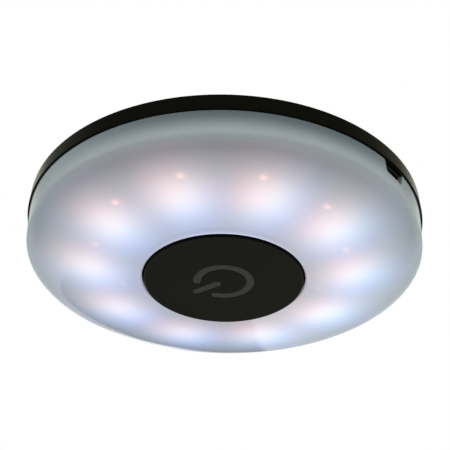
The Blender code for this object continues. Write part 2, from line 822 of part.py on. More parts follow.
def make_button_spring():
    """A coil between the bracket's floor and the button's back, with its ends closed flat."""
    back = FLOOR_FRONT - SEAT_GAP - SPRING_WIRE / 2
    front = BUTTON_BACK + SEAT_GAP + SPRING_WIRE / 2
    count = SPRING_TURNS * SPRING_TURN_POINTS
    points = []
    for i in range(count + 1):
        x, y = polar(SPRING_RADIUS, 360.0 * i / SPRING_TURN_POINTS)
        points.append((x, y, back + (front - back) * i / count))
    pitch = (back - front) / SPRING_TURNS
    print("least gap between the spring's turns, mm:", round((pitch - SPRING_WIRE) * 1000, 3))
    spring = tube("button_spring", points, SPRING_WIRE / 2, 1)
    show(spring, SPRING_STEEL, fixed)


def make_button_frame():
    """The white bracket: a wall on the board, a floor with a bush for the post, and four bosses."""
    foot = BOARD_FRONT - SEAT_GAP
    wall_end = crown_height(FRAME_RADIUS, RIM_INNER, RIM_END + CROWN_WALL) + FIT_GAP
    profile = [
        (FRAME_RADIUS, foot),
        (FRAME_RADIUS, wall_end),
        (FRAME_INNER, wall_end),
        (FRAME_INNER, FLOOR_FRONT),
        (BUSH_RADIUS, FLOOR_FRONT),
        (BUSH_RADIUS, BUSH_END),
        (BUSH_INNER, BUSH_END),
        (BUSH_INNER, FLOOR_BACK),
        (FRAME_INNER, FLOOR_BACK),
        (FRAME_INNER, foot),
    ]
    frame = turned("button_frame", profile, FRAME_STEPS, closed=True)
    for i, at in enumerate(frame_screw_places()):
        boss_top = FLOOR_BACK - FRAME_FLOOR / 2
        join(frame, cylinder(f"frame_boss_{i}", FRAME_BOSS_RADIUS, foot, boss_top, at))
        pilot_end = BOARD_BACK + SEAT_GAP - frame_shank() - PILOT_SPARE / 2
        cut(frame, cylinder(f"frame_pilot_{i}", PILOT_RADIUS, foot + OVERRUN, pilot_end, at))
    key_inner = FRAME_INNER - KEY_REACH
    key_outer = FRAME_INNER + FRAME_WALL / 2
    key_end = FLANGE_FRONT + OVERRUN
    key_top = FLOOR_FRONT + OVERRUN
    size = (key_outer - key_inner, KEY_WIDTH, key_top - key_end)
    at = (*polar((key_inner + key_outer) / 2, MARK_ANGLE), (key_top + key_end) / 2)
    join(frame, box("key", size, at, MARK_ANGLE))
    return piece(frame, WHITE_PLASTIC, fixed)


# Switch


def make_switch():
    side = SWITCH_SIDE
    body = box("switch_body", (side, side, SWITCH_HEIGHT), (0, 0, SWITCH_BACK - SWITCH_HEIGHT / 2))
    bevel(body, SWITCH_EDGE, 1)
    well_radius = PLUNGER_RADIUS + PLUNGER_RUNNING_GAP
    well_top = PLUNGER_END + PLUNGER_LENGTH + BUTTON_TRAVEL + FIT_GAP
    cut(body, cylinder("well", well_radius, well_top, SWITCH_FRONT - OVERRUN))
    piece(body, CHIP_BLACK, fixed)
    cover = box("switch_cover", (side, side, SWITCH_COVER), (0, 0, (COVER_BACK + COVER_FRONT) / 2))
    hole = cylinder("cover_hole", well_radius, COVER_BACK + OVERRUN, COVER_FRONT - OVERRUN)
    cut(cover, hole)
    piece(cover, STEEL, fixed)
    stem_top = PLUNGER_END + PLUNGER_LENGTH
    stem = cylinder("switch_plunger", PLUNGER_RADIUS, stem_top, PLUNGER_END)
    bevel(stem, SWITCH_EDGE, 1)
    piece(stem, CHIP_BLACK, plunger)


# LED board and its parts


def make_led_board():
    board = cylinder("led_board", BOARD_RADIUS, BOARD_BACK, BOARD_FRONT, steps=OUTER_STEPS)
    tab_inner = BOARD_RADIUS - TAB_WIDTH / 2
    middle = (tab_inner + TAB_REACH) / 2
    tab_size = (TAB_REACH - tab_inner, TAB_WIDTH, BOARD_THICKNESS)
    at = (*polar(middle, SOCKET_ANGLE), (BOARD_BACK + BOARD_FRONT) / 2)
    join(board, box("board_tab", tab_size, at, SOCKET_ANGLE))
    places = [polar(BOSS_RING_RADIUS, degrees) for degrees in BOSS_ANGLES]
    places += frame_screw_places()
    for i, at in enumerate(places):
        top = BOARD_BACK + OVERRUN
        bottom = BOARD_FRONT - OVERRUN
        cut(board, cylinder(f"board_hole_{i}", PILOT_RADIUS, top, bottom, at))
    return piece(board, BOARD_WHITE, fixed)


def make_leds():
    back = BOARD_FRONT - SEAT_GAP
    for i in range(LED_COUNT):
        degrees = 360.0 * i / LED_COUNT
        x, y = polar(LED_RING_RADIUS, degrees)
        size = (LED_WIDTH, LED_LENGTH, LED_HEIGHT)
        led = box(f"led_{i + 1:02d}", size, (x, y, back - LED_HEIGHT / 2), degrees)
        bevel(led, LED_EDGE, 1)
        front = back - LED_HEIGHT
        cup = cylinder(f"cup_{i}", LED_CUP_RADIUS, front + LED_CUP_DEPTH, front - OVERRUN, (x, y))
        cut(led, cup)
        piece(led, LED_YELLOW, fixed)


def standing(radius, degrees, height):
    """The place of a piece at a radius and an angle, turned to face outwards."""
    turn = Matrix.Rotation(math.radians(degrees), 4, "Z")
    return Matrix.Translation((*polar(radius, degrees), height)) @ turn


def make_led_resistors():
    """One resistor for each pair of LEDs, between the two."""
    height = BOARD_FRONT - SEAT_GAP - RESISTOR_HEIGHT / 2
    template = box("resistor_template", (RESISTOR_WIDTH, RESISTOR_LENGTH, RESISTOR_HEIGHT))
    angles = [360.0 * (i + 1 / 4) / RESISTOR_COUNT for i in range(RESISTOR_COUNT)]
    places = [standing(RESISTOR_RING_RADIUS, degrees, height) for degrees in angles]
    copies("led_resistor", template, places, CHIP_BLACK)


def on_back(name, size, edge, radius, degrees, look):
    """A block soldered to the board's back, at a radius and an angle."""
    back = BOARD_BACK + SEAT_GAP
    obj = box(name, size, (*polar(radius, degrees), back + size[2] / 2), degrees)
    bevel(obj, edge, 1)
    return piece(obj, look, fixed)


def make_power_parts():
    chip = (CHIP_WIDTH, CHIP_LENGTH, CHIP_HEIGHT)
    on_back("charger_chip", chip, CHIP_EDGE, CHIP_RADIUS, CHARGER_ANGLE, CHIP_BLACK)
    on_back("driver_chip", chip, CHIP_EDGE, CHIP_RADIUS, DRIVER_ANGLE, CHIP_BLACK)
    coil = (COIL_SIDE, COIL_SIDE, COIL_HEIGHT)
    on_back("inductor", coil, COIL_EDGE, CHIP_RADIUS, COIL_ANGLE, FERRITE_GREY)
    template = box("capacitor_template", (CAPACITOR_WIDTH, CAPACITOR_LENGTH, CAPACITOR_HEIGHT))
    height = BOARD_BACK + SEAT_GAP + CAPACITOR_HEIGHT / 2
    places = [standing(CAPACITOR_RADIUS, degrees, height) for degrees in CAPACITOR_ANGLES]
    copies("capacitor", template, places, CERAMIC_TAN)
    make_charge_indicator()


def make_charge_indicator():
    """The small lamp beside the socket that shows through the notch while charging."""
    obj = box("charge_indicator", (INDICATOR_LENGTH, INDICATOR_WIDTH, INDICATOR_HEIGHT))
    across = SOCKET_WIDTH / 2 + INDICATOR_SIDE_GAP + INDICATOR_WIDTH / 2
    along = TAB_REACH - INDICATOR_LENGTH / 2 - SEAT_GAP
    turn = Matrix.Rotation(math.radians(SOCKET_ANGLE), 4, "Z")
    at = turn @ Vector((along, across, BOARD_BACK + SEAT_GAP + INDICATOR_HEIGHT / 2))
    obj.location = at
    obj.rotation_euler.z = math.radians(SOCKET_ANGLE)
    piece(obj, LAMP_GREEN, fixed)


# Charging socket


def socket_outline(inset):
    """The socket's section: a flat box with its two lower corners cut off."""
    half = SOCKET_WIDTH / 2 - inset
    low = SOCKET_LOW + inset
    high = SOCKET_HIGH - inset
    return [
        (-half, high),
        (-half, low + SOCKET_CHAMFER),
        (-half + SOCKET_CHAMFER, low),
        (half - SOCKET_CHAMFER, low),
        (half, low + SOCKET_CHAMFER),
        (half, high),
    ]


def make_socket():
    shell = prism("socket_shell", [socket_outline(0)], SOCKET_LENGTH)
    stand_radial(shell, SOCKET_MIDDLE, SOCKET_ANGLE)
    hollow = prism("socket_hollow", [socket_outline(SOCKET_WALL)], SOCKET_LENGTH)
    stand_radial(hollow, SOCKET_MIDDLE + SOCKET_BACK, SOCKET_ANGLE)
    cut(shell, hollow)
    piece(shell, NICKEL, fixed)
    inner = SOCKET_FRONT - SOCKET_LENGTH + SOCKET_BACK + SEAT_GAP
    outer = SOCKET_FRONT - TONGUE_SETBACK
    middle_height = SOCKET_HIGH - SOCKET_WALL - TONGUE_DROP - TONGUE_HEIGHT / 2
    at = (*polar((inner + outer) / 2, SOCKET_ANGLE), middle_height)
    tongue = box("socket_tongue", (outer - inner, TONGUE_WIDTH, TONGUE_HEIGHT), at, SOCKET_ANGLE)
    piece(tongue, CHIP_BLACK, fixed)


# Battery


def make_battery():
    pad_size = (CELL_WIDTH - 2 * PAD_MARGIN, CELL_LENGTH - 2 * PAD_MARGIN, PAD_THICKNESS)
    pad = box("battery_pad", pad_size, (0, 0, PAD_BACK - PAD_THICKNESS / 2))
    piece(pad, FOAM_GREY, fixed)
    cell_size = (CELL_WIDTH, CELL_LENGTH, CELL_THICKNESS)
    cell = box("battery_cell", cell_size, (0, 0, CELL_BACK - CELL_THICKNESS / 2))
    bevel(cell, CELL_EDGE, 3)
    piece(cell, FOIL_SILVER, fixed)
    middle_y = CIRCUIT_LOW_Y + CIRCUIT_LENGTH / 2
    circuit_size = (CIRCUIT_WIDTH, CIRCUIT_LENGTH, CIRCUIT_THICKNESS)
    circuit = box("battery_circuit", circuit_size, (0, middle_y, circuit_height()))
    piece(circuit, CIRCUIT_AMBER, fixed)


def circuit_height():
    return CELL_BACK - CELL_THICKNESS / 2


def header_x():
    """The header stands beside the second boss."""
    boss_x = polar(BOSS_RING_RADIUS, BOSS_ANGLES[1])[0]
    return boss_x + BOSS_RADIUS + HEADER_BOSS_GAP + HEADER_LENGTH / 2


def plug_x():
    return header_x() + HEADER_LENGTH / 2 + SEAT_GAP + PLUG_LENGTH / 2


def plug_row_y():
    return FENCE_HIGH_Y + FENCE_WALL + PLUG_FENCE_GAP


def header_middle_height():
    return BOARD_BACK + SEAT_GAP + HEADER_HEIGHT / 2


def make_connector():
    """The header on the board's back and the plug in line with it, whose leads leave towards +X."""
    header_at = (header_x(), plug_row_y(), header_middle_height())
    header = box("battery_header", (HEADER_LENGTH, HEADER_WIDTH, HEADER_HEIGHT), header_at)
    bevel(header, HEADER_EDGE, 1)
    piece(header, CONNECTOR_CREAM, fixed)
    plug_at = (plug_x(), plug_row_y(), header_middle_height())
    plug = box("battery_plug", (PLUG_LENGTH, PLUG_WIDTH, PLUG_HEIGHT), plug_at)
    bevel(plug, HEADER_EDGE, 1)
    piece(plug, CONNECTOR_CREAM, fixed)


def lead_points(side):
    """A smooth curve from the battery's board round to the plug. The side is -1 or 1."""
    offset = side * LEAD_PITCH / 2
    start = Vector((LEAD_START_X + offset, CIRCUIT_LOW_Y + CIRCUIT_LENGTH + FIT_GAP, circuit_height()))
    end_x = plug_x() + PLUG_LENGTH / 2 + FIT_GAP
    end = Vector((end_x, plug_row_y() + offset, header_middle_height()))
    after_start = start + Vector((0, LEAD_STRAIGHT, 0))
    before_end = end + Vector((LEAD_STRAIGHT, 0, 0))
    start_pull = Vector((after_start.x, before_end.y, after_start.z))
    end_pull = Vector((after_start.x, before_end.y, before_end.z))
    points = [start]
    for i in range(LEAD_POINTS + 1):
        t = i / LEAD_POINTS
        s = 1 - t
        near = after_start.lerp(start_pull, LEAD_PULL_SHARE)
        far = before_end.lerp(end_pull, LEAD_PULL_SHARE)
        points.append(
            after_start * s**3 + near * 3 * s * s * t + far * 3 * s * t * t + before_end * t**3
        )
    points.append(end)
    return points


def make_leads():
    red = tube("battery_lead_red", lead_points(-1), LEAD_RADIUS, 2)
    show(red, LEAD_RED, fixed)
    black = tube("battery_lead_black", lead_points(1), LEAD_RADIUS, 2)
    show(black, LEAD_BLACK, fixed)


# Screws


def frame_screw_places():
    return [(x, y) for x in (-FRAME_SCREW_X, FRAME_SCREW_X) for y in (-FRAME_SCREW_Y, FRAME_SCREW_Y)]


def frame_shank():
    """The bracket's screws end inside its floor, whatever the board's height."""
    return BOARD_BACK + SEAT_GAP - (FLOOR_BACK - FRAME_FLOOR / 3)


def screw_template(name, shank):
    """A pan head screw, head down, with the underside of its head at the origin."""
    profile = rounded(
        [
            (0, shank, 0),
            (SHANK_RADIUS / 3, shank, 0),
            (SHANK_RADIUS, shank - TIP_LENGTH, 0),
            (SHANK_RADIUS, 0, 0),
            (HEAD_RADIUS, 0, 0),
            (HEAD_RADIUS, -HEAD_HEIGHT, HEAD_EDGE),
            (0, -HEAD_HEIGHT, 0),
        ]
    )
    screw = turned(name, profile, SMALL_STEPS, closed=False)
    depth = HEAD_HEIGHT / 2
    at = (0, 0, -HEAD_HEIGHT)
    cut(screw, box(name + "_slot_x", (2 * HEAD_SLOT_REACH, HEAD_SLOT, 2 * depth), at))
    cut(screw, box(name + "_slot_y", (HEAD_SLOT, 2 * HEAD_SLOT_REACH, 2 * depth), at))
    return screw


def make_screws():
    seat = BOARD_FRONT - SEAT_GAP
    template = screw_template("board_screw_template", SHANK_LENGTH)
    places = [standing(BOSS_RING_RADIUS, degrees, seat) for degrees in BOSS_ANGLES]
    copies("board_screw", template, places, STEEL)
    seat = BOARD_BACK + SEAT_GAP
    template = screw_template("frame_screw_template", frame_shank())
    flip = Matrix.Rotation(math.radians(180.0), 4, "X")
    places = [Matrix.Translation((*at, seat)) @ flip for at in frame_screw_places()]
    copies("frame_screw", template, places, STEEL)


clear_scene()
light = new_collection("puck_light")
cutters = new_collection("cutters")
fixed = new_anchor("fixed_pieces")
button = new_anchor("button_axis")
plunger = new_anchor("plunger_axis")
make_rear_housing()
make_magnets()
make_diffuser()
make_button_cap()
make_power_mark()
make_button_spring()
make_button_frame()
make_switch()
make_led_board()
make_leds()
make_led_resistors()
make_power_parts()
make_socket()
make_battery()
make_connector()
make_leads()
make_screws()
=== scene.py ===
# The looks of a round rechargeable puck light, seen from below: an opal dome lit by ten LEDs, a
# black rear housing and a black button with an on/off sign. Lengths are in metres.
import math

import bmesh
import bpy
from mathutils import Matrix, Vector
from mathutils.geometry import interpolate_bezier


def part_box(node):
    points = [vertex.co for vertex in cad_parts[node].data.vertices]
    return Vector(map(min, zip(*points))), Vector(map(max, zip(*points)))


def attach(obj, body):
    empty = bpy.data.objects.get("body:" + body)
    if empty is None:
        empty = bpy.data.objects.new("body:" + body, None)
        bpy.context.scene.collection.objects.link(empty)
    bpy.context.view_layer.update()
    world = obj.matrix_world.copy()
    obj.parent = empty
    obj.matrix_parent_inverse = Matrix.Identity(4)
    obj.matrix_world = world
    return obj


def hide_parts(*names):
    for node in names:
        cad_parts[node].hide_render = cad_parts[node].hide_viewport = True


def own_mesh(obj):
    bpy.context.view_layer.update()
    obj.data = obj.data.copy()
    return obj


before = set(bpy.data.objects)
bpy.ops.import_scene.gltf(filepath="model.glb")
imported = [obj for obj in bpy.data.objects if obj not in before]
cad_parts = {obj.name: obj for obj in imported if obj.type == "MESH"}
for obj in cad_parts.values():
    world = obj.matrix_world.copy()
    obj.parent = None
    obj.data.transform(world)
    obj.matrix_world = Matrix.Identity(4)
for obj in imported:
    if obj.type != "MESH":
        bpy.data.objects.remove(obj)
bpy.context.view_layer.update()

MM = 0.001


def mm(*sizes):
    """Millimetres as metres."""
    return tuple(size * MM for size in sizes)


def low(node):
    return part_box(node)[0]


def high(node):
    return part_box(node)[1]


def middle(node):
    return (low(node) + high(node)) / 2


def polar(radius, degrees):
    return (radius * math.cos(math.radians(degrees)), radius * math.sin(math.radians(degrees)))


# Main sizes, read from the frame
RIM_RADIUS, _, RIM_TOP = high("diffuser")
WALL_RADIUS, RING_END = high("rear_housing").x, low("rear_housing").z
FLANGE_RADIUS, _, POST_END = high("button_cap")
CAP_FRONT = low("button_cap").z
FRAME_RADIUS, _, FRAME_FOOT = high("button_frame")
FRAME_END = low("button_frame").z
LED_RING, LED_SEAT = middle("led_01").x, high("led_01").z
MAGNET_RING = middle("magnet_1").y
PART_SEAT = low("charger_chip").z
SOCKET_LOW_Z, SOCKET_HIGH_Z = low("socket_shell").z, high("socket_shell").z
BOARD_FRONT, BOARD_BACK = low("led_board").z, high("led_board").z

# Fits, and how far joined solids run into each other
FIT_GAP, SEAT_GAP, OVERLAP = mm(0.3, 0.2, 0.4)

# Rear housing
BACK_RADIUS, OUTER_WALL, RING_WALL, GROOVE_DEPTH = mm(60.1, 1.8, 1.1, 3.0)
PLATE_FACE, PILOT_TOP = mm(-1.8, -4.8)
WALL_END = RIM_TOP + FIT_GAP
BOSS_ANGLES = (54.0, 126.0, 234.0, 306.0)
BOSS_RADIUS, BOSS_INSET, SCREW_HOLE = mm(2.8, 9.9, 1.2)
RIB_THICKNESS, RIB_HEIGHT, RIB_REACH = mm(1.1, 3.4, 7.5)
MAGNET_ANGLES = (90.0, 210.0, 330.0)
MAGNET_RADIUS, POCKET_WALL, POCKET_FLOOR, POCKET_HEIGHT = mm(7.0, 1.2, 0.9, 2.8)
WITNESS_WIDTH, WITNESS_DEPTH = mm(0.5, 0.25)
FENCE_WALL, FENCE_HEIGHT, CELL_SIDE_GAP = mm(1.2, 2.6, 0.4)

# Dome
RIM_HEIGHT, RIM_WALL, CROWN_RISE, CROWN_WALL = mm(8.7, 2.0, 10.68, 1.7)
CROWN_POWER = 1.45
HOLE_RADIUS, HOLE_EDGE, COLLAR_LENGTH = mm(24.75, 0.7, 3.8)
RIM_END = RIM_TOP - RIM_HEIGHT
SNAP_ANGLES = (0.0, 72.0, 144.0, 216.0, 288.0)
SNAP_REACH, SNAP_WIDTH, SNAP_HEIGHT, SNAP_DROP = mm(0.9, 8.0, 1.1, 2.15)
SNAP_TOP = RIM_TOP - SNAP_DROP + SNAP_HEIGHT / 2
SNAP_END = SNAP_TOP - SNAP_HEIGHT
RING_OUTER = RIM_RADIUS - RIM_WALL - FIT_GAP
RING_INNER = RING_OUTER - RING_WALL
BOSS_RING = RING_INNER - BOSS_INSET

# Button, its sign, its spring and its bracket
BUTTON_RADIUS, BUTTON_FACE, BUTTON_SKIRT, BUTTON_EDGE, BUTTON_TRAVEL = mm(24.1, 1.8, 1.5, 0.4, 0.6)
FLANGE_FRONT = CAP_FRONT + 4.95 * MM
FLANGE_BACK = FLANGE_FRONT + 1.2 * MM
POST_RADIUS, SPRING_RIB_INNER, SPRING_RIB_OUTER = mm(4.4, 7.3, 8.3)
SPRING_RADIUS, SPRING_WIRE = mm(6.6, 0.3)
SPRING_TURNS = 4.0
MARK_ANGLE, MARK_HALF_OPENING = 144.0, 36.0
MARK_RADIUS, MARK_STROKE, MARK_DEPTH, MARK_SIDE_GAP = mm(8.05, 2.4, 0.5, 0.12)
MARK_BAR_START, MARK_BAR_END = mm(2.4, 10.1)
KEY_WIDTH, KEY_REACH = mm(1.6, 1.1)
FRAME_INNER = FRAME_RADIUS - 1.2 * MM
FLOOR_FRONT = FLANGE_BACK + 0.9 * MM
FLOOR_BACK = FLOOR_FRONT + 1.2 * MM
BUSH_RADIUS, BUSH_INNER, FRAME_BOSS_RADIUS = mm(5.9, 4.8, 2.4)
BUSH_END = FLOOR_FRONT - 2.2 * MM
FRAME_SCREWS = [mm(x, y) for x in (-21.3, 21.3) for y in (-8.5, 8.5)]
PANEL_HOLES = [polar(BOSS_RING, degrees) for degrees in BOSS_ANGLES] + FRAME_SCREWS

# Switch, and the parts on the board
SWITCH_WELL = 2.05 * MM
SWITCH_PEGS = [polar(3.4 * MM, degrees) for degrees in (45.0, 135.0, 225.0, 315.0)]
LED_COUNT = 10
RESISTOR_RING, CHIP_RING = mm(33.2, 32.0)
CHIP_ANGLES, CHOKE_ANGLE = (-10.0, 26.0), 42.0
CAPACITOR_ANGLES = (-10.0, 26.0, 42.0, 150.0)
LEAD_RADIUS, LEAD_OFFSET = mm(0.6, 0.8)
AT_REST = (0, 0, 0, 0, 0)

# Notch and socket
SOCKET_ANGLE = -36.0
SOCKET_FRONT, SOCKET_LENGTH, SOCKET_WIDTH, TONGUE_BACK = mm(59.4, 5.6, 7.4, 54.9)
SOCKET_WALL, SOCKET_CHAMFER, SOCKET_CORNER = mm(0.3, 0.7, 0.35)
NOTCH_SIDE_GAP, NOTCH_FLARE, NOTCH_SILL, NOTCH_CORNER = mm(0.4, 0.9, 0.9, 1.0)
TAB_WIDTH, TAB_REACH = mm(10.6, 57.7)

# Light at each LED's dies, in millimetres
DIE_PLACE = (-1.0, -0.1)
DIE_SPREAD = 1.15
DIE_COLOUR = (1.0, 0.43, 0.33)
DIE_STRENGTH = 6.0
BOARD_LIGHT_SHIFT = 1.0

# Light on the dome in red, green and blue, in millimetres: the arguments of glow_channel
EDGE_LIGHT = 0.06
FAR_SHADE = 0.15
GLOWS = (
    ((0.220, 0.019, -0.144, -0.207, 0.125), 0.001, (0.018, -0.025), 0.022, 0.043)
    + ((0.552, -0.056), 9.9, (-1.44, -2.13), 0.279, 0.0127),
    ((0.343, 0.004, -0.388, -0.176, 0.270), 0.001, (0.019, -0.017), 0.030, 0.062)
    + ((0.380, -0.031), 9.97, (-0.14, -0.25), 0.348, 0.0185),
    ((0.240, 0.017, -0.193, -0.188, 0.153), 0.010, (0.003, -0.028), 0.038, 0.066)
    + ((0.623, 0.034), 12.17, (1.18, 1.69), 0.212, 0.0093),
)

# Photograph's camera, the lamp and the floor
CAMERA_PLACE = (0.0014016, -0.3806597, -0.2617695)
CAMERA_RIGHT = Vector((0.9997688, -0.0093908, 0.0190973))
CAMERA_UP = Vector((-0.0210748, -0.5620342, 0.8268607))
CAMERA_LENS = 118.99
SENSOR_WIDTH = 36.0
LAMP_PLACE = Vector((0.5, 1.2, 1.4))
LAMP_SIZE = 1.2
LAMP_POWER = 12.0
FLOOR_RADIUS = 12.0
FLOOR_HEIGHT = -1.2

# Steps round the turned pieces, and rows of the dome's rim, crown and collar
ROUND_STEPS = 240
SMALL_STEPS = 40
DOME_ROWS = (6, 56, 3)


# Node trees: sockets as values


def operator(operation, reflected=False):
    """A method that joins a value and another term with a Math node."""

    def method(value, other):
        terms = (other, value) if reflected else (value, other)
        return math_node(value.tree, operation, *terms)

    return method


class Value:
    """An output socket. Sums and products of values add Math nodes to its tree."""

    __add__ = __radd__ = operator("ADD")
    __mul__ = __rmul__ = operator("MULTIPLY")
    __sub__, __rsub__ = operator("SUBTRACT"), operator("SUBTRACT", True)
    __truediv__, __rtruediv__ = operator("DIVIDE"), operator("DIVIDE", True)
    __pow__ = operator("POWER")

    def __init__(self, socket):
        self.socket = socket
        self.tree = socket.id_data

    def math(self, operation, *terms):
        return math_node(self.tree, operation, self, *terms)

    def other(self, output):
        """Another output of the node that this value comes from."""
        return Value(self.socket.node.outputs[output])


def math_node(tree, operation, *terms):
    node = tree.nodes.new("ShaderNodeMath")
    node.operation = operation
    for slot, term in zip(node.inputs, terms):
        feed(slot, term)
    return Value(node.outputs[0])


def feed(slot, term):
    """Links a value to an input socket, or sets the socket to a number, colour or vector."""
    if isinstance(term, Value):
        slot.id_data.links.new(term.socket, slot)
    else:
        slot.default_value = (*term, 1.0) if slot.type == "RGBA" else term


class Graph:
    """One shader or geometry tree, with one method that adds any node to it."""

    def __init__(self, tree):
        self.tree = tree

    def add(self, kind, sockets=None, settings=None, output=0):
        """Adds a node, makes its settings, feeds its sockets and returns one of its outputs."""
        node = self.tree.nodes.new(kind)
        for name, setting in (settings or {}).items():
            setattr(node, name, setting)
        for name, term in (sockets or {}).items():
            feed(node.inputs[name], term)
        return Value(node.outputs[output]) if node.outputs else node

    def smooth(self, value, start, end):
        """0 before the start, 1 after the end, eased between. The start may be the larger."""
        sockets = {"Value": value, "From Min": start, "From Max": end}
        return self.add("ShaderNodeMapRange", sockets, {"interpolation_type": "SMOOTHSTEP"})

    def blend(self, share, first, second):
        """A colour between two colours."""
        return self.add("ShaderNodeMix", {0: share, 6: first, 7: second}, {"data_type": "RGBA"}, 2)

    def triple(self, x, y, z):
        """Three values as one vector or colour."""
        return self.add("ShaderNodeCombineXYZ", {"X": x, "Y": y, "Z": z})


# Materials


class Finish(Graph):
    """A material with one Principled shader, and the piece's own coordinates in millimetres."""

    def __init__(self, name, roughness=0.5, metallic=0.0, ior=1.5):
        self.material = bpy.data.materials.new(name)
        self.material.use_nodes = True
        super().__init__(self.material.node_tree)
        self.shader = self.tree.nodes["Principled BSDF"]
        self.set("Roughness", roughness)
        self.set("Metallic", metallic)
        self.set("IOR", ior)
        self.place = self.add("ShaderNodeTexCoord", output="Object")
        sockets = {"Vector": self.place, "Scale": 1 / MM}
        grid = self.add("ShaderNodeVectorMath", sockets, {"operation": "SCALE"})
        self.x = self.add("ShaderNodeSeparateXYZ", {"Vector": grid})
        self.y = self.x.other(1)
        self.z = self.x.other(2)

    def set(self, socket, term):
        feed(self.shader.inputs[socket], term)

    def paint(self, share, first, second):
        """Gives the surface a colour between two colours, and returns it."""
        tone = self.blend(share, first, second)
        self.set("Base Color", tone)
        return tone

    def relief(self, height, distance, strength):
        """Gives the surface its fine bumps."""
        sockets = {"Height": height, "Distance": distance, "Strength": strength}
        self.set("Normal", self.add("ShaderNodeBump", sockets))

    def radius(self, x=0.0, y=0.0):
        """The distance from an upright line, in millimetres."""
        across = self.x - x
        along = self.y - y
        return (across * across + along * along) ** 0.5

    def noise(self, scale, detail=2.0, roughness=0.5, place=None):
        sockets = {"Scale": scale, "Detail": detail, "Roughness": roughness}
        return self.add("ShaderNodeTexNoise", sockets | {"Vector": place or self.place})

    def cells(self, scale):
        """The distance to the nearest of scattered points."""
        return self.add("ShaderNodeTexVoronoi", {"Vector": self.place, "Scale": scale})

    def hump(self, value, centre, width):
        """A bell curve of a value, 1 at its centre."""
        off = (value - centre) / width
        return (off * off * -1.0).math("EXPONENT")


def toned(colour, share):
    return tuple(part * share for part in colour)


def glow_channel(coat, falls, rim, along, twist, oval, height, width, shift, swing, skew):
    """One colour of the light on the dome: an even glow and a soft patch below each LED.

    The even glow is a series of t, which is -1 at a radius of 20 mm and 1 at 60 mm, with a share
    at the rim, a slope, a slope that grows outwards and an oval part. The patches lie on a ring
    of the width, whose wave of ten turns swings about its mean and is skewed outwards.
    """
    x = coat.x - shift[0]
    y = coat.y - shift[1]
    from_ring = (x * x + y * y) ** 0.5 - LED_RING / MM
    ring = (from_ring * from_ring * -1.0 / (width * width)).math("EXPONENT")
    wave = (y.math("ARCTAN2", x) * LED_COUNT).math("COSINE")
    patches = ring * (1.0 - swing + (swing + from_ring * skew) * wave)
    across = coat.x / 60.0
    beyond = coat.y / 60.0
    t = (coat.radius() - 40.0) / 20.0
    even = falls[-1]
    for term in reversed(falls[:-1]):
        even = term + t * even
    even = even + along[0] * across + (along[1] + twist * t) * beyond
    even = even + oval * (across * across - beyond * beyond) + rim * coat.smooth(t, 0.5, 0.85)
    even = even + EDGE_LIGHT * coat.smooth(t, 0.85, 1.0) * (beyond * beyond - 0.3)
    even = even + FAR_SHADE * t.math("MINIMUM", 0.0) * beyond.math("MAXIMUM", 0.0)
    return (even + patches * (height[0] + height[1] * beyond)).math("MAXIMUM", 0.0)


def opal_finish():
    """Opal plastic lit from behind: painted shade makes the rim grey, and a soft patch of light
    below each LED is painted as emission.
    """
    coat = Finish("opal_plastic", roughness=0.05, ior=1.49)
    smooth, radius, z = coat.smooth, coat.radius(), coat.z
    share = 1.0 - (radius / (RIM_RADIUS / MM)) ** CROWN_POWER
    depth = share.math("MAXIMUM", 0.0) ** (1.0 / CROWN_POWER) * (CROWN_RISE / MM)
    inside = smooth(z - RIM_END / MM + depth, 0.7, 1.1) * smooth(radius, 59.5, 59.1)
    near_hole = smooth(radius, 25.8, 25.5)
    coat.set("Alpha", (0.88 - 0.38 * inside).math("MAXIMUM", near_hole))
    # Painted shade in the base colour: the opal is painted grey, darkest next to the housing on the
    # -Y side, lighter down the wall and mid-grey on the crown.
    shaded = smooth(0.15 * coat.x - 0.97 * coat.y, 20.0, 60.0)
    parting_shade = coat.blend(shaded, (0.37, 0.45, 0.47), (0.15, 0.19, 0.20))
    wall = coat.blend(smooth(z, -6.2, -13.2), parting_shade, (0.46, 0.52, 0.55))
    body = coat.blend(smooth(z, -12.4, -16.4), wall, (0.27, 0.28, 0.31))
    coat.paint(smooth(coat.noise(60.0), 0.3, 0.7) * 0.06, body, (0.22, 0.24, 0.25))
    beyond = coat.y / 25.0
    lip_light = 1.0 - smooth(radius, 25.3, 25.1) * (0.45 - beyond * beyond)
    # Painted shade: the collar down the hole gets none of the glow, so it stays dark in the gap
    # round the button.
    collar = smooth(z, -22.3, -21.7) * smooth(radius, 25.6, 25.4)
    lit = smooth(z, -13.4, -15.4) * lip_light * (1.0 - collar)
    shares = [glow_channel(coat, *glow) * lit for glow in GLOWS]
    coat.set("Emission Color", coat.triple(*shares))
    coat.set("Emission Strength", 0.95)
    return coat.material


def moulded_black(name, colour, roughness, grain, tint):
    """Black plastic with the fine spark-eroded texture of its mould and a slightly olive shine."""
    coat = Finish(name, ior=1.46)
    grains = coat.noise(2600.0, 2.0, 0.6)
    coat.tone = coat.paint(coat.noise(45.0, 3.0), colour, toned(colour, 1.35))
    coat.set("Roughness", roughness + (grains - 0.5) * 0.12)
    coat.relief(grains, 0.00003, grain)
    coat.set("Specular IOR Level", 0.1)
    coat.set("Specular Tint", tint)
    return coat


def button_finish():
    """The button's black: a painted highlight as a faintly lighter ring round its face, and painted
    shade that darkens its side, which lies in the gap.
    """
    colour = (0.0108, 0.0112, 0.0078)
    coat = moulded_black("button_plastic", colour, 0.55, 0.35, (0.95, 0.97, 0.75))
    # Painted highlight on the rounded edge of the face.
    border_highlight = coat.hump(coat.radius(), BUTTON_RADIUS / MM - 0.45, 0.25)
    tone = coat.blend(border_highlight * 0.6, coat.tone, (0.018, 0.018, 0.013))
    front = CAP_FRONT / MM
    # Painted shade: the side above the face, down in the gap round the button, is painted almost
    # black.
    coat.paint(coat.smooth(coat.z, front + 0.12, front + 0.3), tone, (0.0006, 0.0006, 0.0004))
    return coat.material


